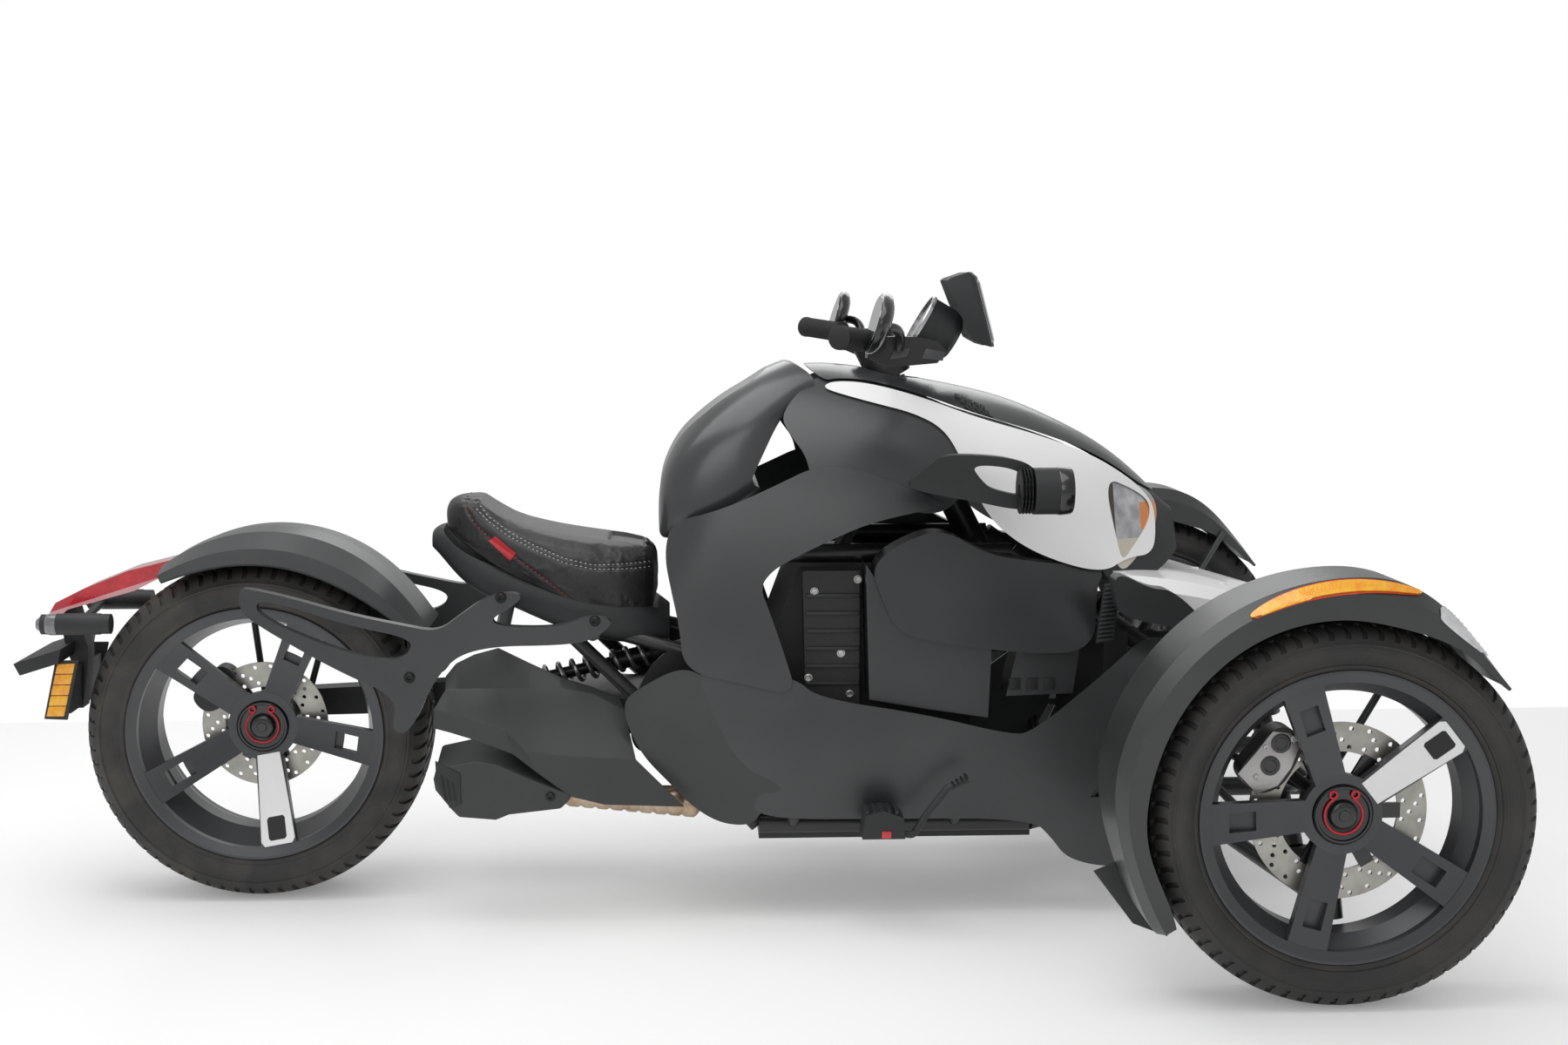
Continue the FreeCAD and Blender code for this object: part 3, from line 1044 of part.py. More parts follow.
seated("tank_cover", common("tank_form", stations("tank_loft", TANK_ROWS, TANK_RING), tank_band),
       nodes["shoulder_panels"], nodes["knee_panels"], nodes["top_cowl"], nodes["nose_panels"],
       *near(0.405, 0.58, 0.62, 0.66, 1.02))

# Airbox, regulator box and the intake covers that close the gap between the panels.
INTAKE_SHARES = (
    (0.614, 0.651), (0.647, 0.694), (0.685, 0.715), (0.723, 0.672), (0.758, 0.656), (0.843, 0.637),
    (0.850, 0.624), (0.840, 0.597), (0.835, 0.492), (0.767, 0.489), (0.664, 0.516), (0.638, 0.538),
    (0.625, 0.591))
AIRBOX_SHARES = ((0.610, 0.651), (0.614, 0.406), (0.673, 0.387), (0.731, 0.371), (0.734, 0.500),
                 (0.673, 0.527),
                 (0.644, 0.559))
REGULATOR_SHARES = ((0.749, 0.409), (0.761, 0.505), (0.822, 0.505), (0.815, 0.413))
intake = fuse("intake_whole", [
    slab("intake_form", INTAKE_SHARES, 0.6667, "1.4"),
    side_prism("airbox", flat(AIRBOX_SHARES), "engine_half", across(0.8772), False),
    slab("regulator", REGULATOR_SHARES, 0.5965, 0.8596, False)])
seated("air_intakes", both_sides("intake_pair", common("intake_in", intake, under_inside)),
       *near(0.60, 0.855, 1, 0.365, 0.72))

# The front deck is an open-bottomed shell on two short posts, with a grey panel at each side.
sizes(deck_wall=4, deck_post_radius=8)
DECK_ROWS = ((0.8602, 0.8947, 0.629, 0.586), (0.9128, 0.8947, 0.6204, 0.5645),
             (0.9684, 0.7895, 0.5978, 0.543), (1.024, 0.614, 0.5699, 0.5215),
             (1.065, 0.4035, 0.5495, 0.5054), (1.093, 0.1579, 0.5204, 0.4925))
DECK_SHARES = ((0.848, 0.645), (0.884, 0.610), (0.906, 0.610), (0.949, 0.530), (0.857, 0.557), (0.848, 0.591))


def deck_section(name, x, half, high, low):
    """A thin channel, open underneath, with a rounded top edge."""
    side, top, foot = across(half), up(high), up(low)
    bend = "(%s - (%s - %s) * 0.45)" % (top, top, foot)
    edge = "(%s - (%s - %s) * 0.08)" % (top, top, foot)
    outer = [(side, foot), (side, bend), (side + " * 0.86", edge), (side + " * 0.3", top)]
    inner = [(side + " * 0.3", "(%s - deck_wall)" % top),
             ("(%s * 0.86 - deck_wall)" % side, "(%s - deck_wall)" % edge),
             ("(%s - deck_wall)" % side, bend), ("(%s - deck_wall)" % side, foot)]
    left = [("-" + y, z) for y, z in outer[::-1]]
    under = [("-" + y, z) for y, z in inner[::-1]]
    sketch = polygon(drawing(name, ACROSS), outer + left + under + inner)
    move(sketch, x=along(x))
    return sketch


deck_post = rod("deck_post", at(0.983, -0.3509, 0.5376), at(0.9842, -0.3509, 0.5903), "deck_post_radius")
bumper = seated("front_bumper", fuse("bumper_whole", [
    loft("bumper_shell", [deck_section("bumper_%d" % i, *row) for i, row in enumerate(DECK_ROWS)]), deck_post,
    mirrored("deck_post_left", deck_post)]), nodes["headlight_surround"],
    *near(0.85, 1.10, 1, 0.42, 0.64))
seated("deck_panels", both_sides("deck_pair", slab("deck_panel", DECK_SHARES, 0.8912, 1.0526)), bumper,
       nodes["lower_panels"])

# Lamp pods on the shoulders, foot pegs with the brake pedal, and the radiator.
sizes(lamp_radius=38, lamp_boss_radius=14, peg_arm_radius=9, pedal_radius=6, exhaust_radius=20,
      exhaust_bend=60, silencer_radius=48, boss_radius=12, signal_radius=17, bracket_rod_radius=7)
LAMP_SHARES = ((0.644, 0.798), (0.661, 0.826), (0.679, 0.852), (0.711, 0.852), (0.743, 0.847), (0.771, 0.830),
               (0.775, 0.753), (0.743, 0.757), (0.717, 0.768), (0.664, 0.785))
LAMP_HOLE_SHARES = ((0.705, 0.837), (0.717, 0.806), (0.728, 0.790), (0.764, 0.776), (0.758, 0.826))
lamp_boss = rod("lamp_boss", at(0.6682, -0.7018, 0.8011), at(0.6682, -1.0175, 0.8011), "lamp_boss_radius")
lamp_arm = cut("lamp_arm", slab("lamp_plate", LAMP_SHARES, 1, 1.1053),
               slab("lamp_hole", LAMP_HOLE_SHARES, 0.9649, 1.1404))
lamp_pod = fuse("lamp_pod", [lamp_arm, cut("lamp_boss_out", lamp_boss, under_form), rod(
    "lamp", at(0.7636, -1.1754, 0.7903), at(0.7987, -1.1754, 0.7903), "lamp_radius")])
seated("lamp_pods", both_sides("lamp_pair", lamp_pod), nodes["knee_panels"])

PEG_SHARES = ((0.6027, 0.1774), (0.6056, 0.2204), (0.6232, 0.228), (0.6425, 0.2151), (0.6437, 0.1774))
peg = fuse("peg_whole", [slab("peg", PEG_SHARES, 1.014, 1.2281, False), rod(
    "peg_arm", at(0.6232, -0.7719, 0.1753), at(0.6232, -1.0526, 0.1806), "peg_arm_radius")])
pedal = pipe("brake_pedal", [at(0.629, -1.1754, 0.1849), at(0.6524, -1.1754, 0.1806),
                             at(0.6641, -1.1754, 0.2151),
                             at(0.6846, -1.1754, 0.2634), at(0.7051, -1.1754, 0.2796)],
             "pedal_radius", "1.5 * pedal_radius")
seated("foot_controls", fuse("foot_controls_whole", [peg, mirrored("peg_left", peg), pedal]),
       *near(0.61, 0.72, 1.3, 0.15, 0.29))

seated("radiator", across_prism("radiator_form", (
    (-0.7719, 0.2097), (0.7719, 0.2097), (0.7719, 0.5204), (-0.7719, 0.5204)), 0.8484, 0.8719),
    *near(0.845, 0.875, 0.8, 0.20, 0.53))
seated("belly_pan", plan_prism("belly_form", [
    (along(0.5067), across(-0.7193)), (along(0.7782), across(-0.7193)), (along(0.7782), across(0.7193)),
    (along(0.5067), across(0.7193))], up(0.1398), up(0.1591)), *near(0.5, 0.78, 0.75, 0.135, 0.165))

# Exhaust, the cover beside the swingarm and the shield over the silencer.
SWING_COVER_SHARES = (
    (0.256, 0.503), (0.188, 0.462), (0.193, 0.425), (0.186, 0.387), (0.186, 0.360), (0.222, 0.331),
    (0.257, 0.312), (0.307, 0.239), (0.319, 0.213), (0.430, 0.198), (0.389, 0.274), (0.370, 0.371),
    (0.351, 0.403), (0.307, 0.432))
SHIELD_SHARES = ((0.190, 0.290), (0.190, 0.314), (0.231, 0.330), (0.275, 0.309), (0.322, 0.239),
                 (0.307, 0.213),
                 (0.275, 0.208), (0.249, 0.191), (0.211, 0.202), (0.201, 0.226))
exhaust = seated("exhaust", fuse("exhaust_whole", [
    pipe("exhaust_pipe", [at(0.5266, -0.3509, 0.2172), at(0.4535, -0.7018, 0.2022),
                          at(0.316, -0.7544, 0.2312)],
         "exhaust_radius", "exhaust_bend"),
    rod("silencer", at(0.3218, -0.7544, 0.2301), at(0.2019, -0.7544, 0.2602), "silencer_radius")]),
    nodes["engine_block"], *near(0.19, 0.51, 1, 0.17, 0.32))
seated("tail_shrouds", fuse("shrouds_whole", [slab("swing_cover", SWING_COVER_SHARES, 0.4912, 0.5754),
                                              slab("silencer_shield", SHIELD_SHARES, 0.9053, 0.9404)]),
       exhaust, *near(0.18, 0.42, 1, 0.19, 0.50))
seated("rear_shock", rod("rear_shock_form", at(0.2341, 0, 0.3785), at(0.44, 0, 0.4634), "2 * boss_radius"),
       swingarm, *near(0.22, 0.45, 0.1, 0.36, 0.50))

# Foot guards: hooped plates outside the seat tubes, on two bosses each.
LOOP_SHARES = (
    (0.011, 0.618), (0.018, 0.620), (0.056, 0.604), (0.114, 0.572), (0.167, 0.551), (0.198, 0.540),
    (0.219, 0.570), (0.246, 0.604), (0.273, 0.611), (0.280, 0.595), (0.237, 0.551), (0.313, 0.545),
    (0.339, 0.567), (0.367, 0.560), (0.354, 0.532), (0.328, 0.514), (0.231, 0.514), (0.196, 0.466),
    (0.170, 0.357), (0.151, 0.363), (0.159, 0.425), (0.102, 0.471), (0.023, 0.559), (0.011, 0.583))
LOOP_HOLE_SHARES = ((0.025, 0.600), (0.056, 0.589), (0.114, 0.552), (0.174, 0.529), (0.170, 0.500),
                    (0.146, 0.486), (0.097, 0.513), (0.030, 0.567))
guard = fuse("guard_whole", [
    cut("guard_plate", slab("guard_form", LOOP_SHARES, 0.8947, 0.9719),
        slab("guard_hole", LOOP_HOLE_SHARES, 0.8596, 1.007)),
    rod("guard_boss_front", at(0.3452, -0.386, 0.5269), at(0.3452, -0.9053, 0.5312), "boss_radius"),
    rod("guard_boss_back", at(0.2575, -0.3158, 0.5699), at(0.2575, -0.9053, 0.5312), "boss_radius")])
seated("foot_guards", both_sides("guard_pair", guard), seat_pan, seat, *near(0, 0.37, 1, 0.35, 0.63))

# Tail light on the fender's end, and the bracket that carries the plate and the signals.
tail_light = seated("tail_light", slab("tail_light_form", (
    (-0.079, 0.6409), (-0.1287, 0.6183), (-0.1726, 0.586), (-0.2019, 0.5591), (-0.2106, 0.5323),
    (-0.2048, 0.5215),
    (-0.1902, 0.5462), (-0.1229, 0.5806), (-0.0819, 0.6183)), -0.1579, 0.1579, False), rear_fender)
PLATE_ARM_SHARES = ((-0.2019, 0.5441), (-0.1872, 0.5527), (-0.1755, 0.4731), (-0.1755, 0.4462),
                    (-0.1826, 0.3548),
                    (-0.196, 0.3548), (-0.1931, 0.4462), (-0.1989, 0.4839))
plate_holder = side_prism("plate_holder", [
    ("(%s - rear_reach)" % REAR_X, up(0.457)), (along(-0.2253), up(0.4624)), (along(-0.1872), up(0.4839)),
    (along(-0.1902), up(0.457)), (along(-0.2282), up(0.4355))], across(-0.386), across(0.386), False)
signal = fuse("signal", [
    rod("signal_lamp", at(-0.1989, -0.4912, 0.5355), at(-0.1317, -0.4912, 0.5355), "signal_radius"),
    rod("signal_arm", at(-0.1908, -0.0035, 0.5054), at(-0.1814, -0.4912, 0.5355), "bracket_rod_radius")])
seated("plate_bracket", fuse("bracket_whole", [
    slab("plate_arm", PLATE_ARM_SHARES, -0.0702, 0.0702, False), plate_holder,
    slab("reflector_bar", ((-0.1902, 0.3602), (-0.1826, 0.3602), (-0.1791, 0.4409), (-0.1867, 0.4409)),
         -0.3228, 0.3228, False), signal, mirrored("signal_left", signal)]), tail_light)

# Control arms: two bent A shapes a side whose pins run in the knuckle's eyes, and the front shocks.
sizes(ball_disc=40, arm_leg_radius=12, arm_high_leg_radius=11, shock_radius=30)


def ball_joint(name, ball, way):
    """A disc beyond the knuckle's eye with a pin into its bore, and where its legs start."""
    near, far = "%s * (ball_eye_half + ball_gap)" % way, "%s * (ball_eye_half + ball_gap + ball_disc)" % way
    return ([king_rod(name + "_disc", ball, near, far, "ball_eye_radius"),
             king_rod(name + "_pin", ball, "%s * -0.85 * ball_eye_half" % way, far, "ball_pin_radius")],
            king(ball, "%s * (ball_eye_half + ball_gap + ball_disc * 0.6)" % way))


low_joint, low_end = ball_joint("low_joint", LOW_BALL, -1)
high_joint, high_end = ball_joint("high_joint", HIGH_BALL, 1)
SHOCK_FOOT = at(1.0047, -1.5789, 0.1763)
arms = fuse("arms_right", low_joint + high_joint + [
    rod("arm_low_back", low_end, BOX_LOW_BACK, "arm_leg_radius"),
    rod("arm_low_front", low_end, BOX_LOW_FRONT, "arm_leg_radius"),
    rod("arm_high_back", high_end, BOX_HIGH_BACK, "arm_high_leg_radius"),
    rod("arm_high_front", high_end, BOX_HIGH_FRONT, "arm_high_leg_radius"),
    rod("shock_seat", at(0.976, -1.5789, 0.1763), at(1.0334, -1.5789, 0.1763), "arm_high_leg_radius")])
control_arms = seated("control_arms", both_sides("arms_pair", arms), *near(0.89, 1.09, 0.85, 0.12, 0.51))
seated("front_shocks", both_sides("shock_pair", rod("shock_form", SHOCK_FOOT, TOWER, "shock_radius")),
       control_arms, *near(0.94, 1.02, 0.9, 0.4, 0.56))

# Tie rods: a pin under the steering arm's eye and a rod whose end slides inside the rack's tube.
sizes(tie_disc_radius=12, tie_disc=20, tie_rod_radius=7, tie_rod_end=215)
tie_near, tie_far = "-(steer_eye_half + ball_gap)", "-(steer_eye_half + ball_gap + tie_disc)"
tie_start = king(STEER_EYE, "-(steer_eye_half + ball_gap + tie_disc / 2)")
tie_rod = fuse("tie_whole", [
    king_rod("tie_disc_form", STEER_EYE, tie_near, tie_far, "tie_disc_radius"),
    king_rod("tie_pin", STEER_EYE, tie_far, "0.85 * steer_eye_half", "steer_pin_radius"),
    rod("tie_bar", (tie_start[0], "(%s + tie_disc_radius / 3)" % tie_start[1], tie_start[2]),
        (tie_start[0], "-tie_rod_end", "rack_height"), "tie_rod_radius")])
node("tie_rod_right", tie_rod)
node("tie_rod_left", mirrored("tie_mirror", tie_rod))

# Handlebar: a stem in the column's tube, the riser, the bar with its grips and switch housings.
sizes(riser_radius=38, riser_start=6, riser_top=78, stem_reach=380, bar_radius=11, bar_bend=40,
      grip_radius=17, gauge_arm_radius=13, mirror_arm_radius=7)
GRIP_IN, GRIP_OUT = at(0.629, -1.0526, 1.0452), at(0.5764, -1.5088, 1.0591)
HOUSING_SHARES = ((0.6056, 1.0215), (0.6085, 1.0581), (0.6495, 1.0581), (0.6729, 1.0495), (0.6799, 1.0344),
                  (0.6717, 1.0129), (0.6261, 1.0054))
bar_right = fuse("bar_right", [
    pipe("bar_tube", [at(0.6524, 0, 1.0269), at(0.6612, -0.4211, 1.0376), at(0.6495, -0.8772, 1.0376),
                      GRIP_IN,
                      GRIP_OUT], "bar_radius", "bar_bend"),
    rod("grip", at(0.6132, -1.1895, 1.0495), GRIP_OUT, "grip_radius"),
    slab("housing", HOUSING_SHARES, 1.0526, 1.193, False)])
handlebar = node("handlebar", fuse("handlebar_whole", [
    rod("stem", column("stem_reach"), column("-riser_start"), "stem_radius"),
    rod("riser", column("-riser_start"), column("-riser_top"), "riser_radius"),
    bar_right, mirrored("bar_left", bar_right)]))
GAUGE_SHARES = ((0.6729, 1.0108), (0.6729, 1.0806), (0.6875, 1.1237), (0.7109, 1.129), (0.7548, 1.0344),
                (0.7537, 1), (0.7197, 1))
SCREEN_SHARES = ((0.7513, 1.0269), (0.7554, 1.0323), (0.7121, 1.172), (0.708, 1.1688))
seated("gauge", fuse("gauge_whole", [
    slab("gauge_case", GAUGE_SHARES, -0.2456, 0.2456, False),
    slab("screen", SCREEN_SHARES, -0.2035, 0.2035, False),
    rod("gauge_arm", at(0.6378, 0, 1.0301), at(0.6846, 0, 1.0344), "gauge_arm_radius")]), handlebar)
mirror = fuse("mirror_whole", [
    across_prism("mirror_head", ((-1.2281, 1.043), (-1.2281, 1.1204), (-1.3053, 1.1344), (-1.6912, 1.1323),
                                 (-1.7404, 1.1129), (-1.7263, 1.0591), (-1.6561, 1.0344), (-1.2912, 1.0301)),
                 0.6039, 0.6214),
    rod("mirror_arm", at(0.6407, -1.1298, 1.0495), at(0.6144, -1.3333, 1.0753), "mirror_arm_radius")])
seated("mirrors", both_sides("mirror_pair", mirror), handlebar)


# Every object has to have built, and every sub-part has to be whole, before anything is written.
doc.recompute()
for thing in doc.Objects:
    if "Invalid" in thing.State or "Error" in thing.State:
        raise RuntimeError("%s did not build" % thing.Name)
for name, thing in nodes.items():
    if thing.Shape.isNull() or not thing.Shape.isValid() or not thing.Shape.Solids:
        raise RuntimeError("%s is not a whole solid" % name)
os.makedirs("parts", exist_ok=True)
for name, thing in nodes.items():
    thing.Shape.exportStep("parts/%s.step" % name)
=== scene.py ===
import math

import bmesh
import bpy
from mathutils import Matrix, Vector


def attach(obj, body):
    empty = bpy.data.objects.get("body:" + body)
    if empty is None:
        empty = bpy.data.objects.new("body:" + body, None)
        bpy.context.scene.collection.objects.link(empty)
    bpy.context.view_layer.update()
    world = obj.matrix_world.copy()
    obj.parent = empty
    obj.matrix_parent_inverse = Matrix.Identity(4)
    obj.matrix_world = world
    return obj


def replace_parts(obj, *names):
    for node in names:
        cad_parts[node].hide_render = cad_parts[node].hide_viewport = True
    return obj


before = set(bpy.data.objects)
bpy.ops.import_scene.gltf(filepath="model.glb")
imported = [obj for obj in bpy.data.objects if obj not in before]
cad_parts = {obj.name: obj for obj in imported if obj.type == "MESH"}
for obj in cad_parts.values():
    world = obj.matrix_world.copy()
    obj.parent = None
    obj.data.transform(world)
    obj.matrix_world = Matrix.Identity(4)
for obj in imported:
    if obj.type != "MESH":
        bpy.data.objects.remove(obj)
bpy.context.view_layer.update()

# Frame, pivot plates and radiator. Welded steel tubes in satin black paint, with a radiator core of
# thin fins behind the front deck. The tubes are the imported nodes; only their paint is given here.


def sums(operation, swapped=False):
    """A method of Reading that adds one Math node for an operator."""
    def method(self, other):
        return self.maths(operation, *((other, self) if swapped else (self, other)))
    return method


class Reading:
    """One output of a shader node. Sums on it add Math nodes."""

    def __init__(self, tree, socket):
        self.tree, self.socket = tree, socket

    def maths(self, operation, *values):
        """A Math node on the values, or on this reading alone."""
        return add(self.tree, "Math", {"operation": operation}, dict(enumerate(values or (self,))))

    __add__ = __radd__ = sums("ADD")
    __mul__ = __rmul__ = sums("MULTIPLY")
    __sub__, __rsub__ = sums("SUBTRACT"), sums("SUBTRACT", True)
    __gt__, __lt__ = sums("GREATER_THAN"), sums("LESS_THAN")


def add(tree, kind, settings=None, sockets=None, out=0):
    """Adds one shader node: its settings first, then the values or links of its sockets."""
    made = tree.nodes.new("ShaderNode" + kind)
    for name, setting in (settings or {}).items():
        if name == "stops":
            for i, (place, shade) in enumerate(setting):
                stop = made.color_ramp.elements[i] if i < 2 else made.color_ramp.elements.new(place)
                stop.position, stop.color = place, (shade, shade, shade, 1)
        else:
            setattr(made, name, setting)
    for name, value in (sockets or {}).items():
        join(tree, made.inputs[name], value)
    return Reading(tree, made.outputs[out])


def join(tree, socket, value):
    """Links a reading to a socket, or sets the socket to a plain value."""
    if isinstance(value, Reading):
        tree.links.new(value.socket, socket)
    elif socket.type == "RGBA":
        socket.default_value = (*value, 1)
    else:
        socket.default_value = value


class Finish:
    """A surface whose colour wanders between two tones, with a fine grain."""

    def __init__(self, name, tones, rough, metal=0.0, grain=900, relief=0.12, patches=5, **sockets):
        self.material = bpy.data.materials.new(name)
        self.material.use_nodes = True
        self.tree = self.material.node_tree
        self.shader = self.tree.nodes["Principled BSDF"]
        self.place = self.add("TexCoord", out="Object")
        cloud = self.noise(patches, 6.0)
        self.colour = self.mix(self.ramp(cloud, 0.35, 0.68), *tones)
        self.put("Base Color", self.colour)
        self.put("Roughness", rough * 0.82 + cloud * (rough * 0.36))
        self.put("Metallic", metal)
        for socket, value in sockets.items():
            self.put(socket.replace("_", " "), value)
        self.bump(self.noise(grain, 3.0), relief)

    def add(self, kind, settings=None, sockets=None, out=0):
        return add(self.tree, kind, settings, sockets, out)

    def noise(self, scale, detail):
        return self.add("TexNoise", {}, {"Vector": self.place, "Scale": scale, "Detail": detail})

    def ramp(self, reading, low, high):
        """Stretches a reading: 0 up to low and 1 from high on."""
        return self.add("ValToRGB", {"stops": ((low, 0), (high, 1))}, {"Fac": reading})

    def facets(self, scale, strength, distance=0.001):
        """A relief of small cells, as in moulded glass or hide."""
        self.bump(self.add("TexVoronoi", {}, {"Vector": self.place, "Scale": scale}), strength, distance)

    def mix(self, share, low, high):
        """A colour between two, by a share."""
        return self.add("Mix", {"data_type": "RGBA"}, {0: share, 6: low, 7: high}, 2)

    def put(self, name, value):
        join(self.tree, self.shader.inputs[name], value)
        return value

    def bump(self, height, strength, distance=0.001):
        """Lays a relief over whatever relief the surface has."""
        sockets = {"Height": height, "Strength": strength, "Distance": distance}
        if self.shader.inputs["Normal"].is_linked:
            sockets["Normal"] = Reading(self.tree, self.shader.inputs["Normal"].links[0].from_socket)
        self.put("Normal", self.add("Bump", {}, sockets))

    def axis(self, number, middle=0.0):
        """The distance along one axis of the object, from a middle."""
        return self.add("SeparateXYZ", {}, {0: self.place}, number) - middle


def dress(surface, *names):
    """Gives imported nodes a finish."""
    for name in names:
        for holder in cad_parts[name].material_slots:
            holder.material = surface.material


tube_black = Finish("tube_black", ((0.008, 0.008, 0.009), (0.018, 0.018, 0.02)), 0.4, grain=400, relief=0.2,
                    Coat_Weight=0.15)
moulded_black = Finish("moulded_black", ((0.014, 0.015, 0.016), (0.025, 0.026, 0.028)), 0.5, grain=1500,
                       relief=0.3)
# This black is the real black of the radiator core and the lamp fins; it also colours the near-black sheets
# of painted shade in windows, slots, slits and intakes.
core_black_and_shade = Finish("core_black_and_shade", ((0.01, 0.01, 0.011), (0.022, 0.022, 0.024)), 0.5, 0.3)
core_waves = core_black_and_shade.add("TexWave", {"wave_type": "BANDS", "bands_direction": "Y"},
                            {"Vector": core_black_and_shade.place, "Scale": 90.0})
core_black_and_shade.bump(core_waves, 0.8, 0.002)
dress(tube_black, "main_frame", "control_arms")
dress(core_black_and_shade, "radiator")
dress(moulded_black, "belly_pan", "seat_pan", "plate_bracket")

# Engine and its boxes. A cast block behind moulded black covers, with zinc bolts and ribs on the
# covers, near-black squares of painted shade in the three square windows of the regulator's box, and a
# louvred grille in each intake over a near-black plate of painted shade. Bolts, ribs, shaded windows and
# grilles are set on the imported covers.


def finished(shape):
    """Merges doubles and turns every face outwards."""
    bmesh.ops.remove_doubles(shape, verts=shape.verts, dist=1e-5)
    bmesh.ops.recalc_face_normals(shape, faces=shape.faces)
    return shape


def placed(name, data):
    """Puts a new object in the scene."""
    thing = bpy.data.objects.new(name, data)
    bpy.context.scene.collection.objects.link(thing)
    return thing


def piece(name, shapes, surface, body, slot, angle=38):
    """Turns a bmesh, or a list of them, into one finished piece that rides on a body."""
    mesh = bpy.data.meshes.new(name)
    whole, *others = shapes if isinstance(shapes, list) else [shapes]
    for other in others:
        loose = bpy.data.meshes.new("loose")
        other.to_mesh(loose)
        whole.from_mesh(loose)
        bpy.data.meshes.remove(loose)
    whole.to_mesh(mesh)
    mesh.shade_smooth()
    mesh.set_sharp_from_angle(angle=math.radians(angle))
    mesh.materials.append(surface.material)
    thing = placed(name, mesh)
    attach(thing, body)
    return thing


def strung(shape, points, closed=False):
    """Adds a line of points and the edges between them, and gives both."""
    corners = [shape.verts.new(point) for point in points]
    following = corners[1:] + corners[:1] if closed else corners[1:]
    return corners, [shape.edges.new(pair) for pair in zip(corners, following)]


def spun(profile, middle, axis=(0, 1, 0), out=(1, 0, 0), steps=48, loop=False):
    """Turns a line of (radius, distance along the axis) all the way round."""
    shape = bmesh.new()
    middle, axis, out = Vector(middle), Vector(axis).normalized(), Vector(out).normalized()
    row, line = strung(shape, [middle + out * radius + axis * run for radius, run in profile], loop)
    bmesh.ops.spin(shape, geom=row + line, cent=middle, axis=axis, angle=math.tau, steps=steps,
                   use_merge=True)
    return finished(shape)


def rounded(shape, offset, segments=2, least=25):
    """Bevels the edges that turn by more than an angle."""
    edges = [edge for edge in shape.edges
             if len(edge.link_faces) == 2 and edge.calc_face_angle(0) > math.radians(least)]
    bmesh.ops.bevel(shape, geom=edges, offset=offset, offset_type="OFFSET", segments=segments, profile=0.5,
                    affect="EDGES", material=-1, clamp_overlap=True)
    return shape


def pushed(shape, faces):
    """Extrudes faces where they are and gives the new vertices."""
    geometry = bmesh.ops.extrude_face_region(shape, geom=faces)["geom"]
    return [item for item in geometry if isinstance(item, bmesh.types.BMVert)]


def pulled(outline, way, soft=0.0, segments=2):
    """Pulls a flat outline of points along a vector and rounds its edges."""
    shape = bmesh.new()
    face = shape.faces.new([shape.verts.new(point) for point in outline])
    bmesh.ops.translate(shape, verts=pushed(shape, [face]), vec=way)
    finished(shape)
    return rounded(shape, soft, segments) if soft else shape


def side(outline, near, far, soft=0.0, segments=2):
    """A plate of a side outline of (x, z), from one y to another."""
    return pulled([(x, near, z) for x, z in outline], (0, far - near, 0), soft, segments)


def slab(low, high, near, far, soft):
    """A box between two opposite corners (x, z) of its side, from one y to another."""
    return side((low, (high[0], low[1]), high, (low[0], high[1])), near, far, soft)


def twin(shape):
    """Adds the same shape on the other side of the middle plane."""
    bmesh.ops.mirror(shape, geom=shape.verts[:] + shape.edges[:] + shape.faces[:], axis="Y", merge_dist=0)
    bmesh.ops.recalc_face_normals(shape, faces=shape.faces)
    return shape


def twins(shapes):
    return [twin(shape) for shape in shapes]


def bolt(middle, axis, radius, socket=0.55):
    """A round bolt head with a hexagonal-looking socket, on a thin washer."""
    out = Vector(axis).orthogonal()
    return spun([(0, radius * 0.25), (radius * socket, radius * 0.25), (radius * socket, radius * 0.8),
                 (radius * 0.85, radius * 0.85), (radius, radius * 0.7), (radius, radius * 0.2),
                 (radius * 1.25, radius * 0.2), (radius * 1.25, 0), (0, 0)], middle, axis, out, 18)


zinc = Finish("zinc_bolt", ((0.42, 0.42, 0.41), (0.6, 0.6, 0.58)), 0.32, 0.9)
black_bolt = Finish("black_bolt", ((0.015, 0.015, 0.016), (0.03, 0.03, 0.032)), 0.3, 0.6)
cast_black = Finish("cast_black", ((0.012, 0.012, 0.013), (0.024, 0.024, 0.026)), 0.6, grain=500, relief=0.5)
intake_grey = Finish("intake_grey", ((0.034, 0.037, 0.038), (0.045, 0.049, 0.05)), 0.32, 0.35, grain=1300,
                     relief=0.12, Coat_Weight=0.3, Coat_Roughness=0.25)
dress(cast_black, "engine_block")
dress(intake_grey, "air_intakes")
BOLTS = ((0.233, 0.575), (0.205, 0.4495), (0.150, 0.408), (0.160, 0.555), (0.22, 0.38))
piece("engine_bolts", twins(bolt((x, -0.21, z), (0, -1, 0), 0.0055) for x, z in BOLTS), zinc, "chassis",
      "engine_black")
piece("engine_cover_ribs", twins(slab((0.146, z), (0.236, z + 0.006), -0.2095, -0.2135, 0.0012)
                                 for z in (0.395, 0.425, 0.455, 0.485, 0.515, 0.545)),
      moulded_black, "chassis", "engine_black")
# Near-black squares of painted shade stand for the three windows in the regulator's box.
piece("regulator_window_shades", twins(slab((x - 0.01, 0.391), (x + 0.01, 0.411), -0.2445, -0.2475, 0.0012)
                                 for x in (0.495, 0.5245, 0.554)),
      core_black_and_shade, "chassis", "intake_black")
louvres = [side(((0.629 + 0.0009 * i, 0.476 + 0.0072 * i), (0.654 + 0.0009 * i, 0.479 + 0.0072 * i),
                 (0.654 + 0.0009 * i, 0.482 + 0.0072 * i), (0.629 + 0.0009 * i, 0.479 + 0.0072 * i)),
                -0.2655, -0.2705, 0.0006) for i in range(13)]
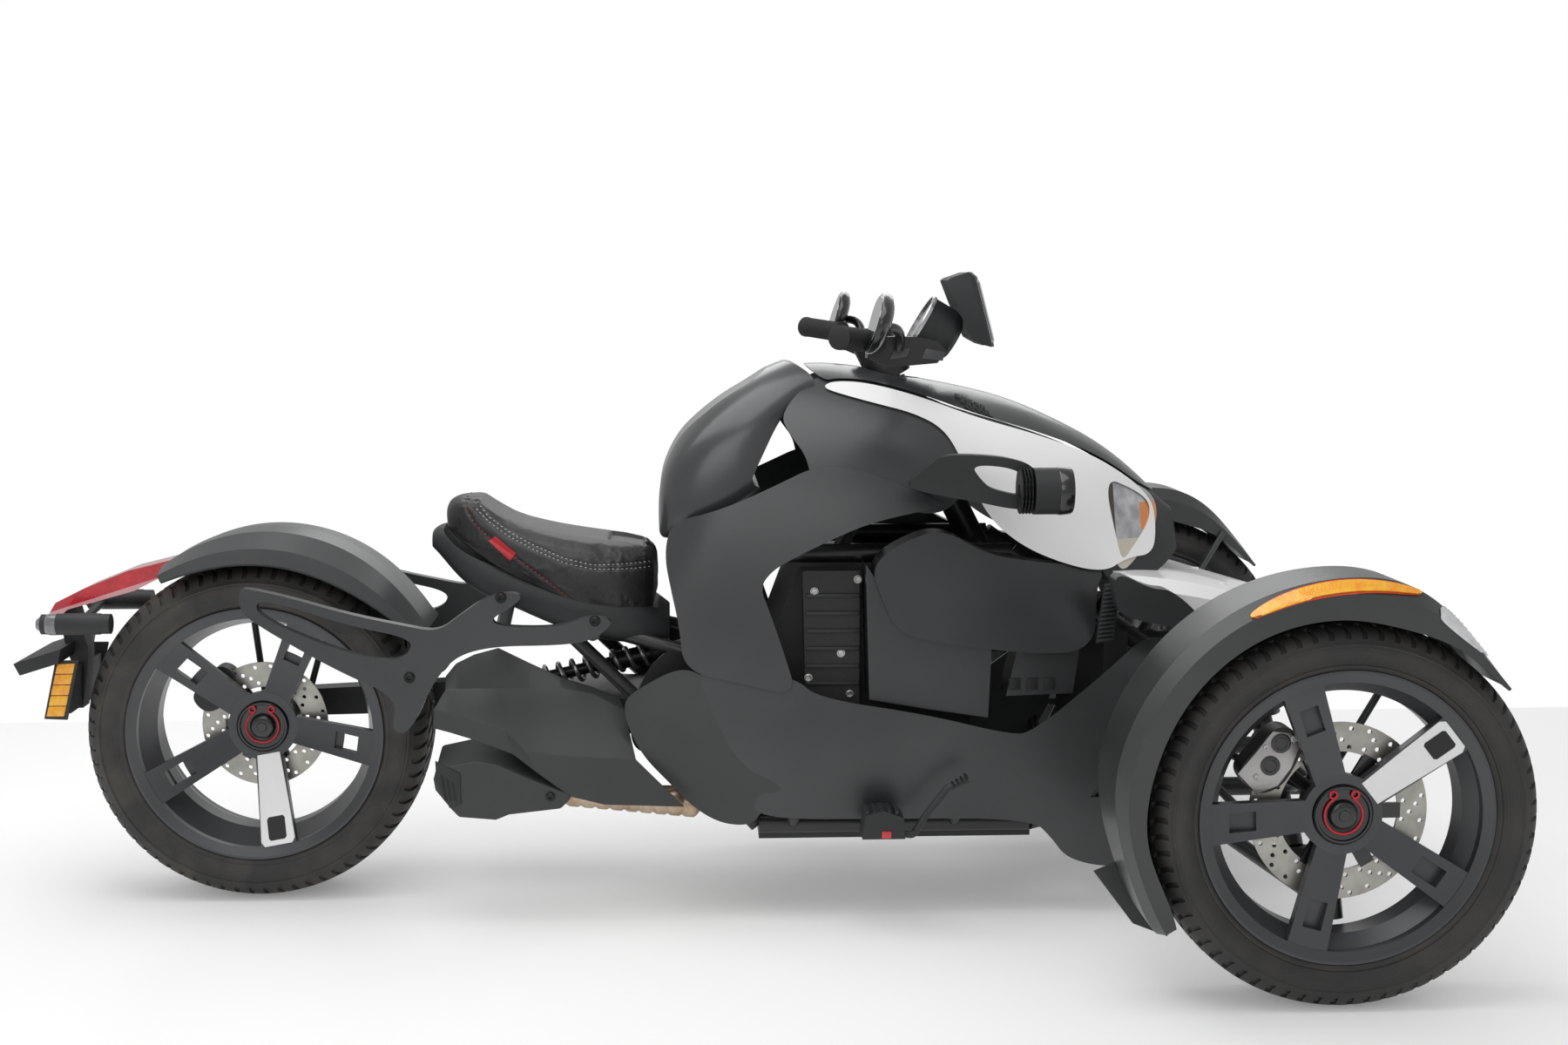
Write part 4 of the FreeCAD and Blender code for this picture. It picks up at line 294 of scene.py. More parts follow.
# A near-black plate of painted shade lies behind the louvres, where the intake is open.
intake_shade_backing = twin(side(((0.627, 0.472), (0.657, 0.476), (0.668, 0.574), (0.639, 0.572)), -0.262, -0.2662, 0.002))
piece("intake_grille_shade", intake_shade_backing, core_black_and_shade, "chassis", "intake_black")
piece("intake_louvres", twins(louvres), intake_grey, "chassis", "intake_black")

# Swingarm, its cover and the silencer. A cast aluminium arm in dark satin paint, a creased cover
# beside it, and the silencer's moulded shield with an outlet at its end whose slots are near-black
# strips of painted shade. Cover and shield take the place of the imported shrouds.
arm_grey = Finish("arm_grey", ((0.03, 0.031, 0.032), (0.045, 0.046, 0.047)), 0.45, 0.3, grain=500,
                  relief=0.3)
cover_grey = Finish("cover_grey", ((0.03, 0.032, 0.032), (0.042, 0.045, 0.045)), 0.46, grain=1400,
                    relief=0.3)
dress(arm_grey, "swingarm")
dress(cover_grey, "sill_panels")


def sheeted(rows, thick, soft):
    """A moulded wall of one thickness through rows of points, its creases rounded."""
    shape = bmesh.new()
    lines = [strung(shape, row)[1] for row in rows]
    for near, far in zip(lines, lines[1:]):
        bmesh.ops.bridge_loops(shape, edges=near + far)
    bmesh.ops.recalc_face_normals(shape, faces=shape.faces)
    bmesh.ops.solidify(shape, geom=shape.faces[:], thickness=thick)
    return rounded(finished(shape), soft, 3, 14)


# The creases of the cover: the y of each, and its points (x, z).
COVER_ROWS = (
    (-0.165, ((-0.463, 0.408), (-0.445, 0.430), (-0.414, 0.445), (-0.373, 0.456), (-0.319, 0.429),
              (-0.268, 0.405), (-0.213, 0.387), (-0.170, 0.368))),
    (-0.188, ((-0.4615, 0.389), (-0.4405, 0.3895), (-0.411, 0.390), (-0.3735, 0.390), (-0.320, 0.391),
              (-0.268, 0.390), (-0.214, 0.380), (-0.160, 0.352))),
    (-0.256, ((-0.4736, 0.369), (-0.446, 0.3625), (-0.412, 0.352), (-0.3566, 0.3315), (-0.325, 0.2985),
              (-0.262, 0.289), (-0.202, 0.285), (-0.140, 0.2815))),
    (-0.2655, ((-0.4733, 0.340), (-0.448, 0.333), (-0.414, 0.322), (-0.3423, 0.2945), (-0.300, 0.2605),
               (-0.2502, 0.2219), (-0.1929, 0.2071), (-0.0596, 0.2018))))
swing_cover = sheeted([[(x, y, z) for x, z in row] for y, row in COVER_ROWS], 0.003, 0.0035)
cover = piece("swing_cover", swing_cover, cover_grey, "chassis", "shroud_grey", 50)
SHIELD = ((-0.4689, 0.2912), (-0.4064, 0.3037), (-0.3709, 0.2967), (-0.3141, 0.2704), (-0.2502, 0.2255),
          (-0.2485, 0.2182), (-0.2648, 0.2015), (-0.3509, 0.1922), (-0.3726, 0.1835), (-0.4333, 0.1891),
          (-0.4456, 0.2022), (-0.4714, 0.2539), (-0.4746, 0.2723))
shield = pulled([(x, -0.172, z) for x, z in SHIELD], (0, -0.096, 0))
for vert in shield.verts:
    if vert.co.y < -0.2 and vert.co.z > 0.25:
        vert.co.z -= 0.019
piece("silencer_shield", rounded(shield, 0.006, 3, 30), cover_grey, "chassis", "shroud_grey", 40)
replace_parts(cover, "tail_shrouds")
OUTLET = ((-0.4705, 0.2860), (-0.4300, 0.2640), (-0.4290, 0.2120), (-0.4480, 0.2050), (-0.4695, 0.2530))
outlet = pulled([(x, -0.2665, z) for x, z in OUTLET], (0, -0.004, 0))
piece("silencer_outlet", rounded(outlet, 0.0014, 2), moulded_black, "chassis", "shroud_grey")
# Near-black strips of painted shade stand for the slots in the outlet.
slot_shades = [side(((-0.462 + 0.009 * i, 0.262 - 0.006 * i), (-0.458 + 0.009 * i, 0.260 - 0.006 * i),
               (-0.452 + 0.008 * i, 0.218), (-0.456 + 0.008 * i, 0.219)), -0.2703, -0.2713) for i in range(3)]
piece("silencer_slot_shades", slot_shades, core_black_and_shade, "chassis", "shroud_grey")
piece("shield_bolts", bolt((-0.2815, -0.268, 0.2229), (0, -1, 0), 0.0065), black_bolt, "chassis",
      "shroud_grey")

# Exhaust pipe. A steel pipe with a tan heat tint that runs back under the engine, its last stretch
# pleated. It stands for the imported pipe.
pipe_tan = Finish("pipe_tan", ((0.42, 0.3, 0.2), (0.62, 0.5, 0.38)), 0.38, 0.75, patches=22)
scorched = pipe_tan.ramp(pipe_tan.noise(60.0, 8.0), 0.5, 0.8)
pipe_tan.put("Base Color", pipe_tan.mix(scorched * 0.7, pipe_tan.colour, (0.3, 0.1, 0.04)))


def wire(points, radius, closed=False, around=3):
    """A round wire along a smooth line of points, as a bmesh."""
    line = bpy.data.curves.new("line", "CURVE")
    line.dimensions, line.bevel_depth, line.bevel_resolution, line.use_fill_caps = "3D", radius, around, True
    path = line.splines.new("NURBS")
    path.points.add(len(points) - 1)
    for spot, point in zip(path.points, points):
        spot.co = (*point, 1)
    path.use_cyclic_u = closed
    path.order_u, path.use_endpoint_u, path.resolution_u = 3, not closed, 4
    holder = placed("line", line)
    mesh = bpy.data.meshes.new_from_object(holder)
    shape = bmesh.new()
    shape.from_mesh(mesh)
    bpy.data.objects.remove(holder)
    bpy.data.curves.remove(line)
    bpy.data.meshes.remove(mesh)
    return finished(shape)
PIPE = ((0.1005, -0.1, 0.202), (-0.0245, -0.2, 0.188), (-0.262, -0.215, 0.2165))
VALLEY, CREST = 0.0198, 0.0226
pleat_line = [(0, 0.0)]
for i in range(9):
    start = 0.012 + 0.0245 * i
    pleat_line += [(VALLEY, start), (CREST, start + 0.004), (CREST, start + 0.0175), (VALLEY, start + 0.0235)]
pleat_line.append((0, 0.236))
pleated = spun(pleat_line, PIPE[1], Vector(PIPE[2]) - Vector(PIPE[1]), (0, 0, 1), 36)
pipe = piece("exhaust_pipe", [wire(PIPE, 0.0196, around=6), pleated], pipe_tan, "chassis", "exhaust_steel")
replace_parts(pipe, "exhaust")

# Shock absorbers. Each is a steel damper in a black body, with a coil spring between two plates.
# The spring is a wire wound along the damper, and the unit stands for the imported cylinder.
spring_steel = Finish("spring_steel", ((0.4, 0.4, 0.4), (0.6, 0.6, 0.6)), 0.3, 0.85)
spring_black = Finish("spring_black", ((0.02, 0.02, 0.022), (0.035, 0.035, 0.037)), 0.35)
# The damper's outline: radius and run as shares of the whole.
DAMPER = ((0, 0.02), (0.5, 0.02), (0.55, 0.12), (0.98, 0.15), (0.98, 0.19), (0.45, 0.2), (0.42, 0.6),
          (0.7, 0.62), (0.7, 0.8), (0.98, 0.82), (0.98, 0.87), (0.5, 0.9), (0.5, 0.98), (0, 0.98))
COIL_TURNS, COIL_STEPS = 9, 14
SIDES = (("right", -1), ("left", 1))


def shock(start, end, radius, coil):
    """A damper between two points and the spring wound round it."""
    start, end = Vector(start), Vector(end)
    run = end - start
    out = run.orthogonal().normalized()
    across = run.cross(out).normalized()
    damper = spun([(radius * wide, run.length * share) for wide, share in DAMPER], start, run, out, 28)
    points = []
    for i in range(COIL_TURNS * COIL_STEPS + 1):
        angle, share = math.tau * i / COIL_STEPS, 0.2 + 0.61 * i / (COIL_TURNS * COIL_STEPS)
        points.append(start + run * share + (out * math.cos(angle) + across * math.sin(angle)) * radius * 0.8)
    return damper, wire(points, coil, around=2)


damper, coil = shock((-0.3994, 0, 0.352), (-0.0475, 0, 0.431), 0.024, 0.0042)
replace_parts(piece("rear_damper", damper, tube_black, "chassis", "shock_steel"), "rear_shock")
piece("rear_spring", coil, spring_steel, "chassis", "shock_steel")
for name, hand in SIDES:
    damper, coil = shock((0.9175, hand * 0.45, 0.164), (0.8804, hand * 0.24, 0.5), 0.03, 0.005)
    front = piece("front_damper_" + name, damper, tube_black, "chassis", "shock_front")
    piece("front_spring_" + name, coil, spring_black, "chassis", "shock_front")
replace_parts(front, "front_shocks")

# Tyres. Low road tyres of black rubber, a little dusty, moulded with ribs round the wall and with
# slanted slots sunk into the tread. Each is spun from one line and stands for its node.
FRONT_X, FRONT_Z = 0.9095, 0.29
AXLES = {"rear": Vector((-0.7995, 0, 0.2955)), "front_right": Vector((FRONT_X, -0.67, FRONT_Z)),
         "front_left": Vector((FRONT_X, 0.67, FRONT_Z))}
BEAD = 0.206
# A tyre's radius, half width, and half width at the bead.
TYRES = {"rear": (0.2955, 0.1025, 0.093), "front": (0.29, 0.0725, 0.055)}
# The outline from the bead to the crown: height and width as shares of the whole.
WALL = ((0, 0), (0.16, 0.04), (0.2, 0.35), (0.235, 0.5), (0.262, 0.5), (0.285, 0.42), (0.34, 0.62),
        (0.42, 0.88), (0.5, 1), (0.58, 1))
CROWN = ((0.62, 0.985), (0.635, 0.995), (0.655, 0.995), (0.67, 0.975), (0.74, 0.94), (0.81, 0.89),
         (0.87, 0.82), (0.915, 0.74), (0.945, 0.66), (0.965, 0.58), (0.968, 0.565), (0.895, 0.558),
         (0.895, 0.522), (0.973, 0.515), (0.985, 0.38), (0.994, 0.235), (0.995, 0.225), (0.925, 0.215),
         (0.925, 0.135), (0.998, 0.125), (1.0, 0.06))
TREAD_STEPS, SLOT_DEPTH, SLANT = 420, 0.005, 0.16


def of_wheel(place, kind):
    """A name such as front_tyre_right, or rear_tyre."""
    end, _, hand = place.partition("_")
    return f"{end}_{kind}_{hand}".rstrip("_")


def tyre(middle, radius, half, seat):
    """A tyre: bead, ribbed wall, shoulder and crown, with grooves round it and slots across it."""
    rise = radius - BEAD
    half_line = [(BEAD + rise * r, seat + (half - seat) * y) for r, y in WALL]
    half_line += [(BEAD + rise * r, half * y) for r, y in CROWN]
    line = half_line + [(r, -y) for r, y in reversed(half_line)]
    shape = spun(line, middle, steps=TREAD_STEPS, loop=True)
    chosen = []
    for face in shape.faces:
        spot = face.calc_center_median() - middle
        reach, turn = math.hypot(spot.x, spot.z), math.atan2(spot.z, spot.x) % math.tau
        phase = int(turn / math.tau * TREAD_STEPS) % 6
        share, width = (reach - BEAD) / rise, abs(spot.y) / half
        if share > 0.72 and (0.58 < width < 0.95 and phase < 2 or width < 0.5 and 2 <= phase < 4):
            chosen.append(face)
    for vert in pushed(shape, chosen):
        spot = vert.co - middle
        vert.co -= Vector((spot.x, 0, spot.z)).normalized() * SLOT_DEPTH
    bmesh.ops.delete(shape, geom=chosen, context="FACES")
    for vert in shape.verts:
        spot = vert.co - middle
        share = max(0.0, (math.hypot(spot.x, spot.z) - BEAD) / rise - 0.6) / 0.4
        turn = Matrix.Rotation(SLANT * share * (abs(spot.y) / half - 0.6), 3, "Y")
        vert.co = middle + turn @ spot
    return finished(shape)


def rubber(name, middle, dust):
    """Tyre rubber: fine rings moulded round the wall, and patches of dust."""
    surface = Finish(name, ((0.021, 0.021, 0.021), (0.034, 0.033, 0.032)), 0.62, grain=600, relief=0.25,
                     patches=9)
    x, z = surface.axis(0, middle.x), surface.axis(2, middle.z)
    reach = (x * x + z * z).maths("SQRT")
    worn = surface.ramp(surface.noise(14.0, 8.0), 0.42, 0.75)
    surface.put("Base Color", surface.mix(worn * dust, surface.colour, (0.1, 0.085, 0.068)))
    rings = (reach * 1800.0).maths("SINE")
    surface.bump(rings * ((reach > 0.232) * (reach < 0.262)), 0.35, 0.0006)
    return surface


for place, middle in AXLES.items():
    worn_rubber = rubber("rubber_" + place, middle, 0.55 if place == "rear" else 0.3)
    tread = piece("tread_" + place, tyre(middle, *TYRES[place.split("_")[0]]), worn_rubber,
                  of_wheel(place, "wheel"), of_wheel(place, "rubber"), 30)
    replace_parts(tread, of_wheel(place, "tyre"))

# Rims, hubs and discs. Cast rims in satin gunmetal with one white spoke cover each, a near-black
# sheet of painted shade in each cover's window, and a black hub cap held by a red wire clip; covers,
# caps and clips are set on the imported rims. The drilled steel discs on their black carriers stand
# for the imported discs.
gunmetal = Finish("gunmetal", ((0.054, 0.056, 0.06), (0.076, 0.077, 0.083)), 0.34, 0.5, grain=1200,
                  relief=0.1, Coat_Weight=0.2, Coat_Roughness=0.3)
cover_white = Finish("cover_white", ((0.86, 0.86, 0.86), (0.9, 0.9, 0.9)), 0.3, Coat_Weight=0.3)
cap_black = Finish("cap_black", ((0.006, 0.006, 0.007), (0.012, 0.012, 0.013)), 0.22, Coat_Weight=0.5)
clip_red = Finish("clip_red", ((0.5, 0.012, 0.02), (0.62, 0.02, 0.03)), 0.35)
disc_steel = Finish("disc_steel", ((0.33, 0.32, 0.29), (0.46, 0.45, 0.41)), 0.32, 0.85, patches=30)
spoke_pocket_shade = Finish("spoke_pocket_shade", ((0.006, 0.006, 0.008), (0.012, 0.012, 0.014)), 0.5)
dress(gunmetal, *[of_wheel(place, "rim") for place in AXLES])
# A rim's half width, how deep its hub lies, and the angle of its white spoke in degrees.
RIMS = {"rear": (0.098, 0.072, -80.0), "front": (0.06, 0.027, 38.4)}
SPOKE_ROOT, SPOKE_END = 0.06, 0.203
SPOKE_OUTLINE = ((0.05, -0.02), (0.13, -0.0255), (0.192, -0.0295), (0.2, -0.024), (0.2, 0.024),
                 (0.192, 0.0295), (0.13, 0.0255), (0.05, 0.02))
WELL_OUTLINE = ((-1, -0.8), (-0.8, -1), (0.8, -1), (1, -0.8), (1, 0.8), (0.8, 1), (-0.8, 1), (-1, 0.8))
HUB_RING = ((0.0215, -0.0045), (0.0215, 0.0012), (0.024, 0.0022), (0.038, 0.0022), (0.0395, 0.005),
            (0.0425, 0.005), (0.044, 0.0028), (0.0445, 0.0004), (0.0445, -0.0045))
HUB_CAP = ((0, 0.0112), (0.008, 0.0112), (0.009, 0.0098), (0.016, 0.0098), (0.019, 0.0085),
           (0.0205, 0.006), (0.0212, 0.0003), (0, 0.0003))
# A disc's radius, its carrier's reach, and how often its pattern of holes is repeated.
DISCS = {"rear": (0.110, 0.066, 10), "front": (0.134, 0.09, 12)}
DISC_HALF, HOLE, CARRIER = 0.0022, 0.0036, 0.0064
# The holes of one sector: shares of the band's width and of half the sector's angle.
HOLES = ((0.16, -0.55), (0.4, -0.1), (0.62, 0.3), (0.84, 0.65), (0.8, -0.5), (0.2, 0.55))


def equal_turns(count):
    return [math.tau * i / count for i in range(count)]


def bearing(angle, reach=1, y=0):
    """The step from a wheel's middle to a point at an angle about the axle."""
    return Vector((math.cos(angle) * reach, y, math.sin(angle) * reach))


def drilled(middle, inner, outer, near, far, sectors):
    """A brake disc: one sector with its holes filled by triangles, copied round and thickened."""
    shape = bmesh.new()
    half = math.pi / sectors

    def at(r, t):
        return middle + bearing(t, r, near - middle.y)

    rings = [[at(outer, half * (i / 3 - 1)) for i in range(7)]
             + [at(inner, half * (1 - i / 3)) for i in range(7)]]
    for share, turn in HOLES:
        centre = at(inner + (outer - inner) * share, half * turn)
        rings.append([centre + bearing(angle) * HOLE for angle in equal_turns(10)])
    edges = []
    for ring in rings:
        edges += strung(shape, ring, True)[1]
    bmesh.ops.triangle_fill(shape, use_beauty=True, edges=edges)
    bmesh.ops.spin(shape, geom=shape.verts[:] + shape.edges[:] + shape.faces[:], cent=middle, axis=(0, 1, 0),
                   angle=math.tau, steps=sectors, use_duplicate=True)
    finished(shape)
    bmesh.ops.translate(shape, verts=pushed(shape, shape.faces[:]), vec=(0, far - near, 0))
    return finished(shape)


for place, middle in AXLES.items():
    hand = 1 if place == "front_left" else -1
    end, place_slot = place.split("_")[0], place.replace("front_", "")
    rim_half, inset, white_turn = RIMS[end]
    dish, tip = rim_half - inset, rim_half - 0.006
    body, slot = of_wheel(place, "wheel"), "rim_" + place_slot

    def on_spoke(reach, offset, lift):
        """A point above the spoke's dished face, before the spoke is turned to its place."""
        slope = (reach - SPOKE_ROOT) / (SPOKE_END - SPOKE_ROOT)
        return middle + Vector((reach, hand * (dish + (tip - dish) * max(slope, 0) + lift), offset))

    turn = Matrix.Rotation(math.radians(-white_turn), 4, "Y")
    cover = bmesh.new()
    sheet = cover.faces.new([cover.verts.new(on_spoke(r, w, 0.0004)) for r, w in SPOKE_OUTLINE])
    bmesh.ops.triangulate(cover, faces=[sheet])
    bmesh.ops.solidify(cover, geom=cover.faces[:], thickness=-0.0016)
    rounded(finished(cover), 0.0006, 1)
    # The near-black sheet in the cover's window is painted shade for the pocket of the gunmetal spoke below.
    well = pulled([on_spoke(0.172 + a * 0.019, b * 0.0155, 0.0014) for a, b in WELL_OUTLINE],
                  (0, hand * 0.001, 0))
    for shape in (well, cover):
        bmesh.ops.transform(shape, matrix=Matrix.Translation(middle) @ turn @ Matrix.Translation(-middle),
                            verts=shape.verts)
    piece("spoke_window_shade_" + place, well, spoke_pocket_shade, body, slot)
    piece("spoke_cover_" + place, cover, cover_white, body, slot)

    node, disc_slot = of_wheel(place, "disc"), "disc_" + place_slot
    outer, inner, sectors = DISCS[end]
    walls = [corner[1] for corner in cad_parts[node].bound_box]
    centre = (min(walls) + max(walls)) / 2
    near, far = centre - DISC_HALF, centre + DISC_HALF
    band = piece("disc_" + place, drilled(middle, inner, outer, near, far, sectors), disc_steel, body,
                 disc_slot)
    base = near - middle.y - 0.001
    reach = inner + 0.004
    arms = [pulled([middle + bearing(t + a, r, base) for r, a in
                    ((0.04, -0.3), (reach, -0.12), (reach, 0.12), (0.04, 0.3))],
                   (0, CARRIER, 0)) for t in equal_turns(6)]
    bell = spun([(0.03, 0), (0.056, 0), (0.056, CARRIER), (0.03, CARRIER)],
                middle + Vector((0, base, 0)), steps=40, loop=True)
    piece("disc_carrier_" + place, [bell] + arms, cap_black, body, disc_slot)
    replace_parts(band, node)

    out = Vector((0, hand, 0))
    hub = middle + out * dish
    piece("hub_ring_" + place, spun(HUB_RING, hub, out, steps=64, loop=True), cap_black, body, slot)
    piece("hub_cap_" + place, spun(HUB_CAP, hub, out, steps=40), cap_black, body, slot)
    clip = [hub + out * 0.0048 + bearing(math.radians(118 + 304 * i / 24), 0.0285) for i in range(25)]
    ears = []
    for degrees in (118, 62):
        centre = hub + out * 0.006 + bearing(math.radians(degrees)) * 0.035
        ears.append([centre + bearing(angle) * 0.0055 for angle in equal_turns(10)])
    piece("hub_clip_" + place, [wire(clip, 0.0019)] + [wire(ear, 0.0017, True) for ear in ears], clip_red,
          body, slot)

# Knuckles, calipers and front fenders. Cast steel uprights in black, silver calipers with two round
# piston caps, and moulded grey fenders that turn with the wheels. Each fender carries an amber lens
# with a red border, a clear lens and a mud flap.
knuckle_black = Finish("knuckle_black", ((0.02, 0.02, 0.02), (0.04, 0.038, 0.036)), 0.5, 0.5)
caliper_silver = Finish("caliper_silver", ((0.36, 0.35, 0.34), (0.5, 0.49, 0.48)), 0.38, 0.8, grain=500,
                        relief=0.3)
fender_grey = Finish("fender_grey", ((0.04, 0.043, 0.043), (0.052, 0.055, 0.055)), 0.36, 0.3, grain=1500,
                     relief=0.2, Coat_Weight=0.3, Coat_Roughness=0.3)
lens_amber = Finish("lens_amber", ((0.95, 0.34, 0.01), (1.0, 0.55, 0.03)), 0.14, patches=60,
                    Coat_Weight=0.6)
lens_clear = Finish("lens_clear", ((0.62, 0.64, 0.66), (0.8, 0.82, 0.84)), 0.1, 0.2, patches=40,
                    Coat_Weight=0.8)
lens_smoked = Finish("lens_smoked", ((0.16, 0.16, 0.17), (0.26, 0.26, 0.27)), 0.12, 0.2, patches=40,
                     Coat_Weight=0.8)
lens_border = Finish("lens_border", ((0.6, 0.05, 0.015), (0.7, 0.09, 0.02)), 0.2, Coat_Weight=0.5)
lens_amber.facets(260.0, 0.5)
dress(knuckle_black, "knuckle_right", "knuckle_left", "tie_rod_right", "tie_rod_left")
dress(fender_grey, "front_fender_right", "front_fender_left")


def laid(target, place, way, cells, rise, thick):
    """A thin piece laid on an object: a grid whose points are dropped on its skin."""
    shape = bmesh.new()
    bmesh.ops.create_grid(shape, x_segments=cells[0], y_segments=cells[1], size=0.5)
    missed = []
    for vert in shape.verts:
        hit, spot, normal, _ = target.ray_cast(Vector(place(vert.co.x + 0.5, vert.co.y + 0.5)), Vector(way))
        if hit:
            vert.co = spot + normal * rise
        else:
            missed.append(vert)
    bmesh.ops.delete(shape, geom=missed, context="VERTS")
    bmesh.ops.recalc_face_normals(shape, faces=shape.faces)
    if sum(face.normal.dot(Vector(way)) for face in shape.faces) > 0:
        bmesh.ops.reverse_faces(shape, faces=shape.faces)
    bmesh.ops.solidify(shape, geom=shape.faces[:], thickness=-thick)
    return finished(shape)


# The caliper's side outline in steps from the axle, the flap's outline, and a piston cap's profile.
CALIPER_STEP = 0.121
CALIPER = ((-1.28, 0.50), (-1.06, 0.76), (-0.86, 1.02), (-0.64, 1.0), (-0.52, 0.84), (-0.62, 0.56),
           (-0.78, 0.34), (-1.04, 0.24))
FLAP = ((0.5609, 0.18), (0.6074, 0.1997), (0.6816, 0.1783), (0.677, 0.0757), (0.6228, 0.0971))
CAP = ((0, 0.0024), (0.0085, 0.0024), (0.0095, 0.0016), (0.013, 0.0021), (0.0148, 0.0012),
       (0.0148, 0), (0, 0))
for name, hand in SIDES:
    middle, inwards = AXLES["front_" + name], (0, -hand, 0)
    fender, body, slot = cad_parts["front_fender_" + name], "knuckle_" + name, "fender_" + name
    metal = "knuckle_metal_" + name

    def around(degrees, reach):
        return middle + bearing(math.radians(degrees), reach, hand * 0.25)

    def crescent(wide):
        """The amber lens, pointed at both ends, or its wider border."""
        def place(u, v):
            ends = (4 * u * (1 - u)) ** 0.5
            return around(74.5 + 43 * u, 0.3462 - 0.005 * u * u + (v - 0.5) * (0.0125 * ends + 0.002) * wide)
        return place

    def lamp(u, v):
        """The clear lens, narrower at both ends."""
        ends = 0.35 + 0.65 * math.sin(math.pi * u) ** 0.5
        return around(50 + 19 * u, 0.317 + (v - 0.5) * 0.03 * ends + 0.012 * u)

    piece("amber_border_" + name, laid(fender, crescent(1.3), inwards, (64, 6), 0.0006, 0.0012),
          lens_border, body, slot)
    piece("amber_lens_" + name, laid(fender, crescent(1.0), inwards, (64, 6), 0.0022, 0.0018),
          lens_amber, body, slot)
    piece("mud_flap_" + name, side(FLAP, hand * 0.598, hand * 0.603, 0.0015), moulded_black, body, slot)
    piece("clear_lens_" + name, laid(fender, lamp, inwards, (40, 14), 0.0015, 0.002), lens_clear, body,
          slot)
    plate = side([(FRONT_X + CALIPER_STEP * a, FRONT_Z + CALIPER_STEP * b) for a, b in CALIPER],
                 hand * 0.6885, hand * 0.6915, 0.0012)
    piece("caliper_face_" + name, plate, caliper_silver, body, metal)
    caps = [spun(CAP, (x, hand * 0.6915, z), (0, hand, 0), steps=32)
            for x, z in ((0.8025, 0.362), (0.8175, 0.3955))]
    piece("caliper_caps_" + name, caps, cap_black, body, metal)
    bolts = [bolt((x, hand * 0.6912, z), (0, hand, 0), 0.0042)
             for x, z in ((0.782, 0.345), (0.838, 0.402), (0.795, 0.39))]
    piece("caliper_bolts_" + name, bolts, zinc, body, metal)

# Body panels. Moulded panels: dark satin grey over the tank, shoulders and sides, gloss white at the
# nose and on the front deck. The panels are the imported nodes, and three rows of small near-black
# patches of painted shade, standing for slits, are laid on each side of the top cowl.
panel_grey = Finish("panel_grey", ((0.04, 0.043, 0.044), (0.052, 0.056, 0.057)), 0.36, 0.35, grain=1600,
                    relief=0.15, Coat_Weight=0.3, Coat_Roughness=0.3)
tank_grey = Finish("tank_grey", ((0.045, 0.05, 0.051), (0.058, 0.064, 0.065)), 0.3, 0.35, grain=1800,
                   relief=0.05, Coat_Weight=0.5, Coat_Roughness=0.18)
gloss_white = Finish("gloss_white", ((0.88, 0.88, 0.88), (0.91, 0.91, 0.91)), 0.25, Coat_Weight=0.4,
                     relief=0.03)
dress(panel_grey, "knee_panels", "shoulder_panels", "lower_panels", "deck_panels", "foot_guards",
      "rear_fender")
dress(tank_grey, "tank_cover", "top_cowl")
dress(gloss_white, "nose_panels", "front_bumper")
dress(moulded_black, "headlight_surround", "lamp_pods", "foot_controls")
# Near-black sheets laid on the top cowl: painted shade for its slits.
painted_slit_shades = []
for i in range(15):
    row, column = divmod(i, 5)

    def pocket(u, v):
        return (0.411 + 0.0105 * column + 0.006 * row + 0.0075 * u, -0.5,
                0.879 - 0.0045 * column - 0.0085 * row - 0.0055 * v - 0.003 * u)

    painted_slit_shades.append(twin(laid(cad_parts["top_cowl"], pocket, (0, 1, 0), (3, 3), 0.0008, 0.001)))
piece("cowl_slit_shades", painted_slit_shades, core_black_and_shade, "chassis", "cowl_grey")

# Headlight. The two packed lenses at the end of the nose, coloured by place: a dark root, a pale
# strip along the bottom and an amber patch at the front, under a clear coat.
lens_front = Finish("lens_front", ((0.3, 0.3, 0.31), (0.6, 0.6, 0.62)), 0.08, 0.35, patches=34, relief=0.02,
                    Coat_Weight=1.0, Coat_Roughness=0.03)
x, z = lens_front.axis(0), lens_front.axis(2)
deep = lens_front.mix(x < 0.684, lens_front.colour, (0.045, 0.03, 0.022))
deep = lens_front.mix(z < 0.632, deep, (0.62, 0.56, 0.47))
deep = lens_front.mix((x > 0.735) * ((z > 0.645) * (z < 0.69)), deep, (0.75, 0.26, 0.06))
lens_front.put("Base Color", deep)
lens_front.facets(120.0, 0.25)
dress(lens_front, "headlight")

# Foot guards and pegs. Glass-filled plastic loops on socket bolts, rubber-topped pegs with a small red
# reflector on the end, and a bent steel brake pedal with a ribbed pad.
lens_red = Finish("lens_red", ((0.5, 0.01, 0.02), (0.68, 0.02, 0.035)), 0.15, patches=60, Coat_Weight=0.7)
guard_bolts = [bolt((x, -0.277, z), (0, -1, 0), 0.0075)
               for x, z in ((-0.3576, 0.5588), (-0.2048, 0.5187), (-0.5087, 0.4273))]
piece("guard_bolts", twins(guard_bolts), black_bolt, "chassis", "guard_grey")
treads = [side(((0.236 + 0.012 * i, 0.2035), (0.242 + 0.012 * i, 0.2055), (0.242 + 0.012 * i, 0.2125),
                (0.236 + 0.012 * i, 0.2105)), -0.292, -0.348, 0.001) for i in range(5)]
piece("peg_treads", twins(treads), moulded_black, "chassis", "peg_metal")
piece("peg_reflectors", twin(slab((0.262, 0.1665), (0.278, 0.1785), -0.3495, -0.3525, 0.001)), lens_red,
      "chassis", "peg_metal")
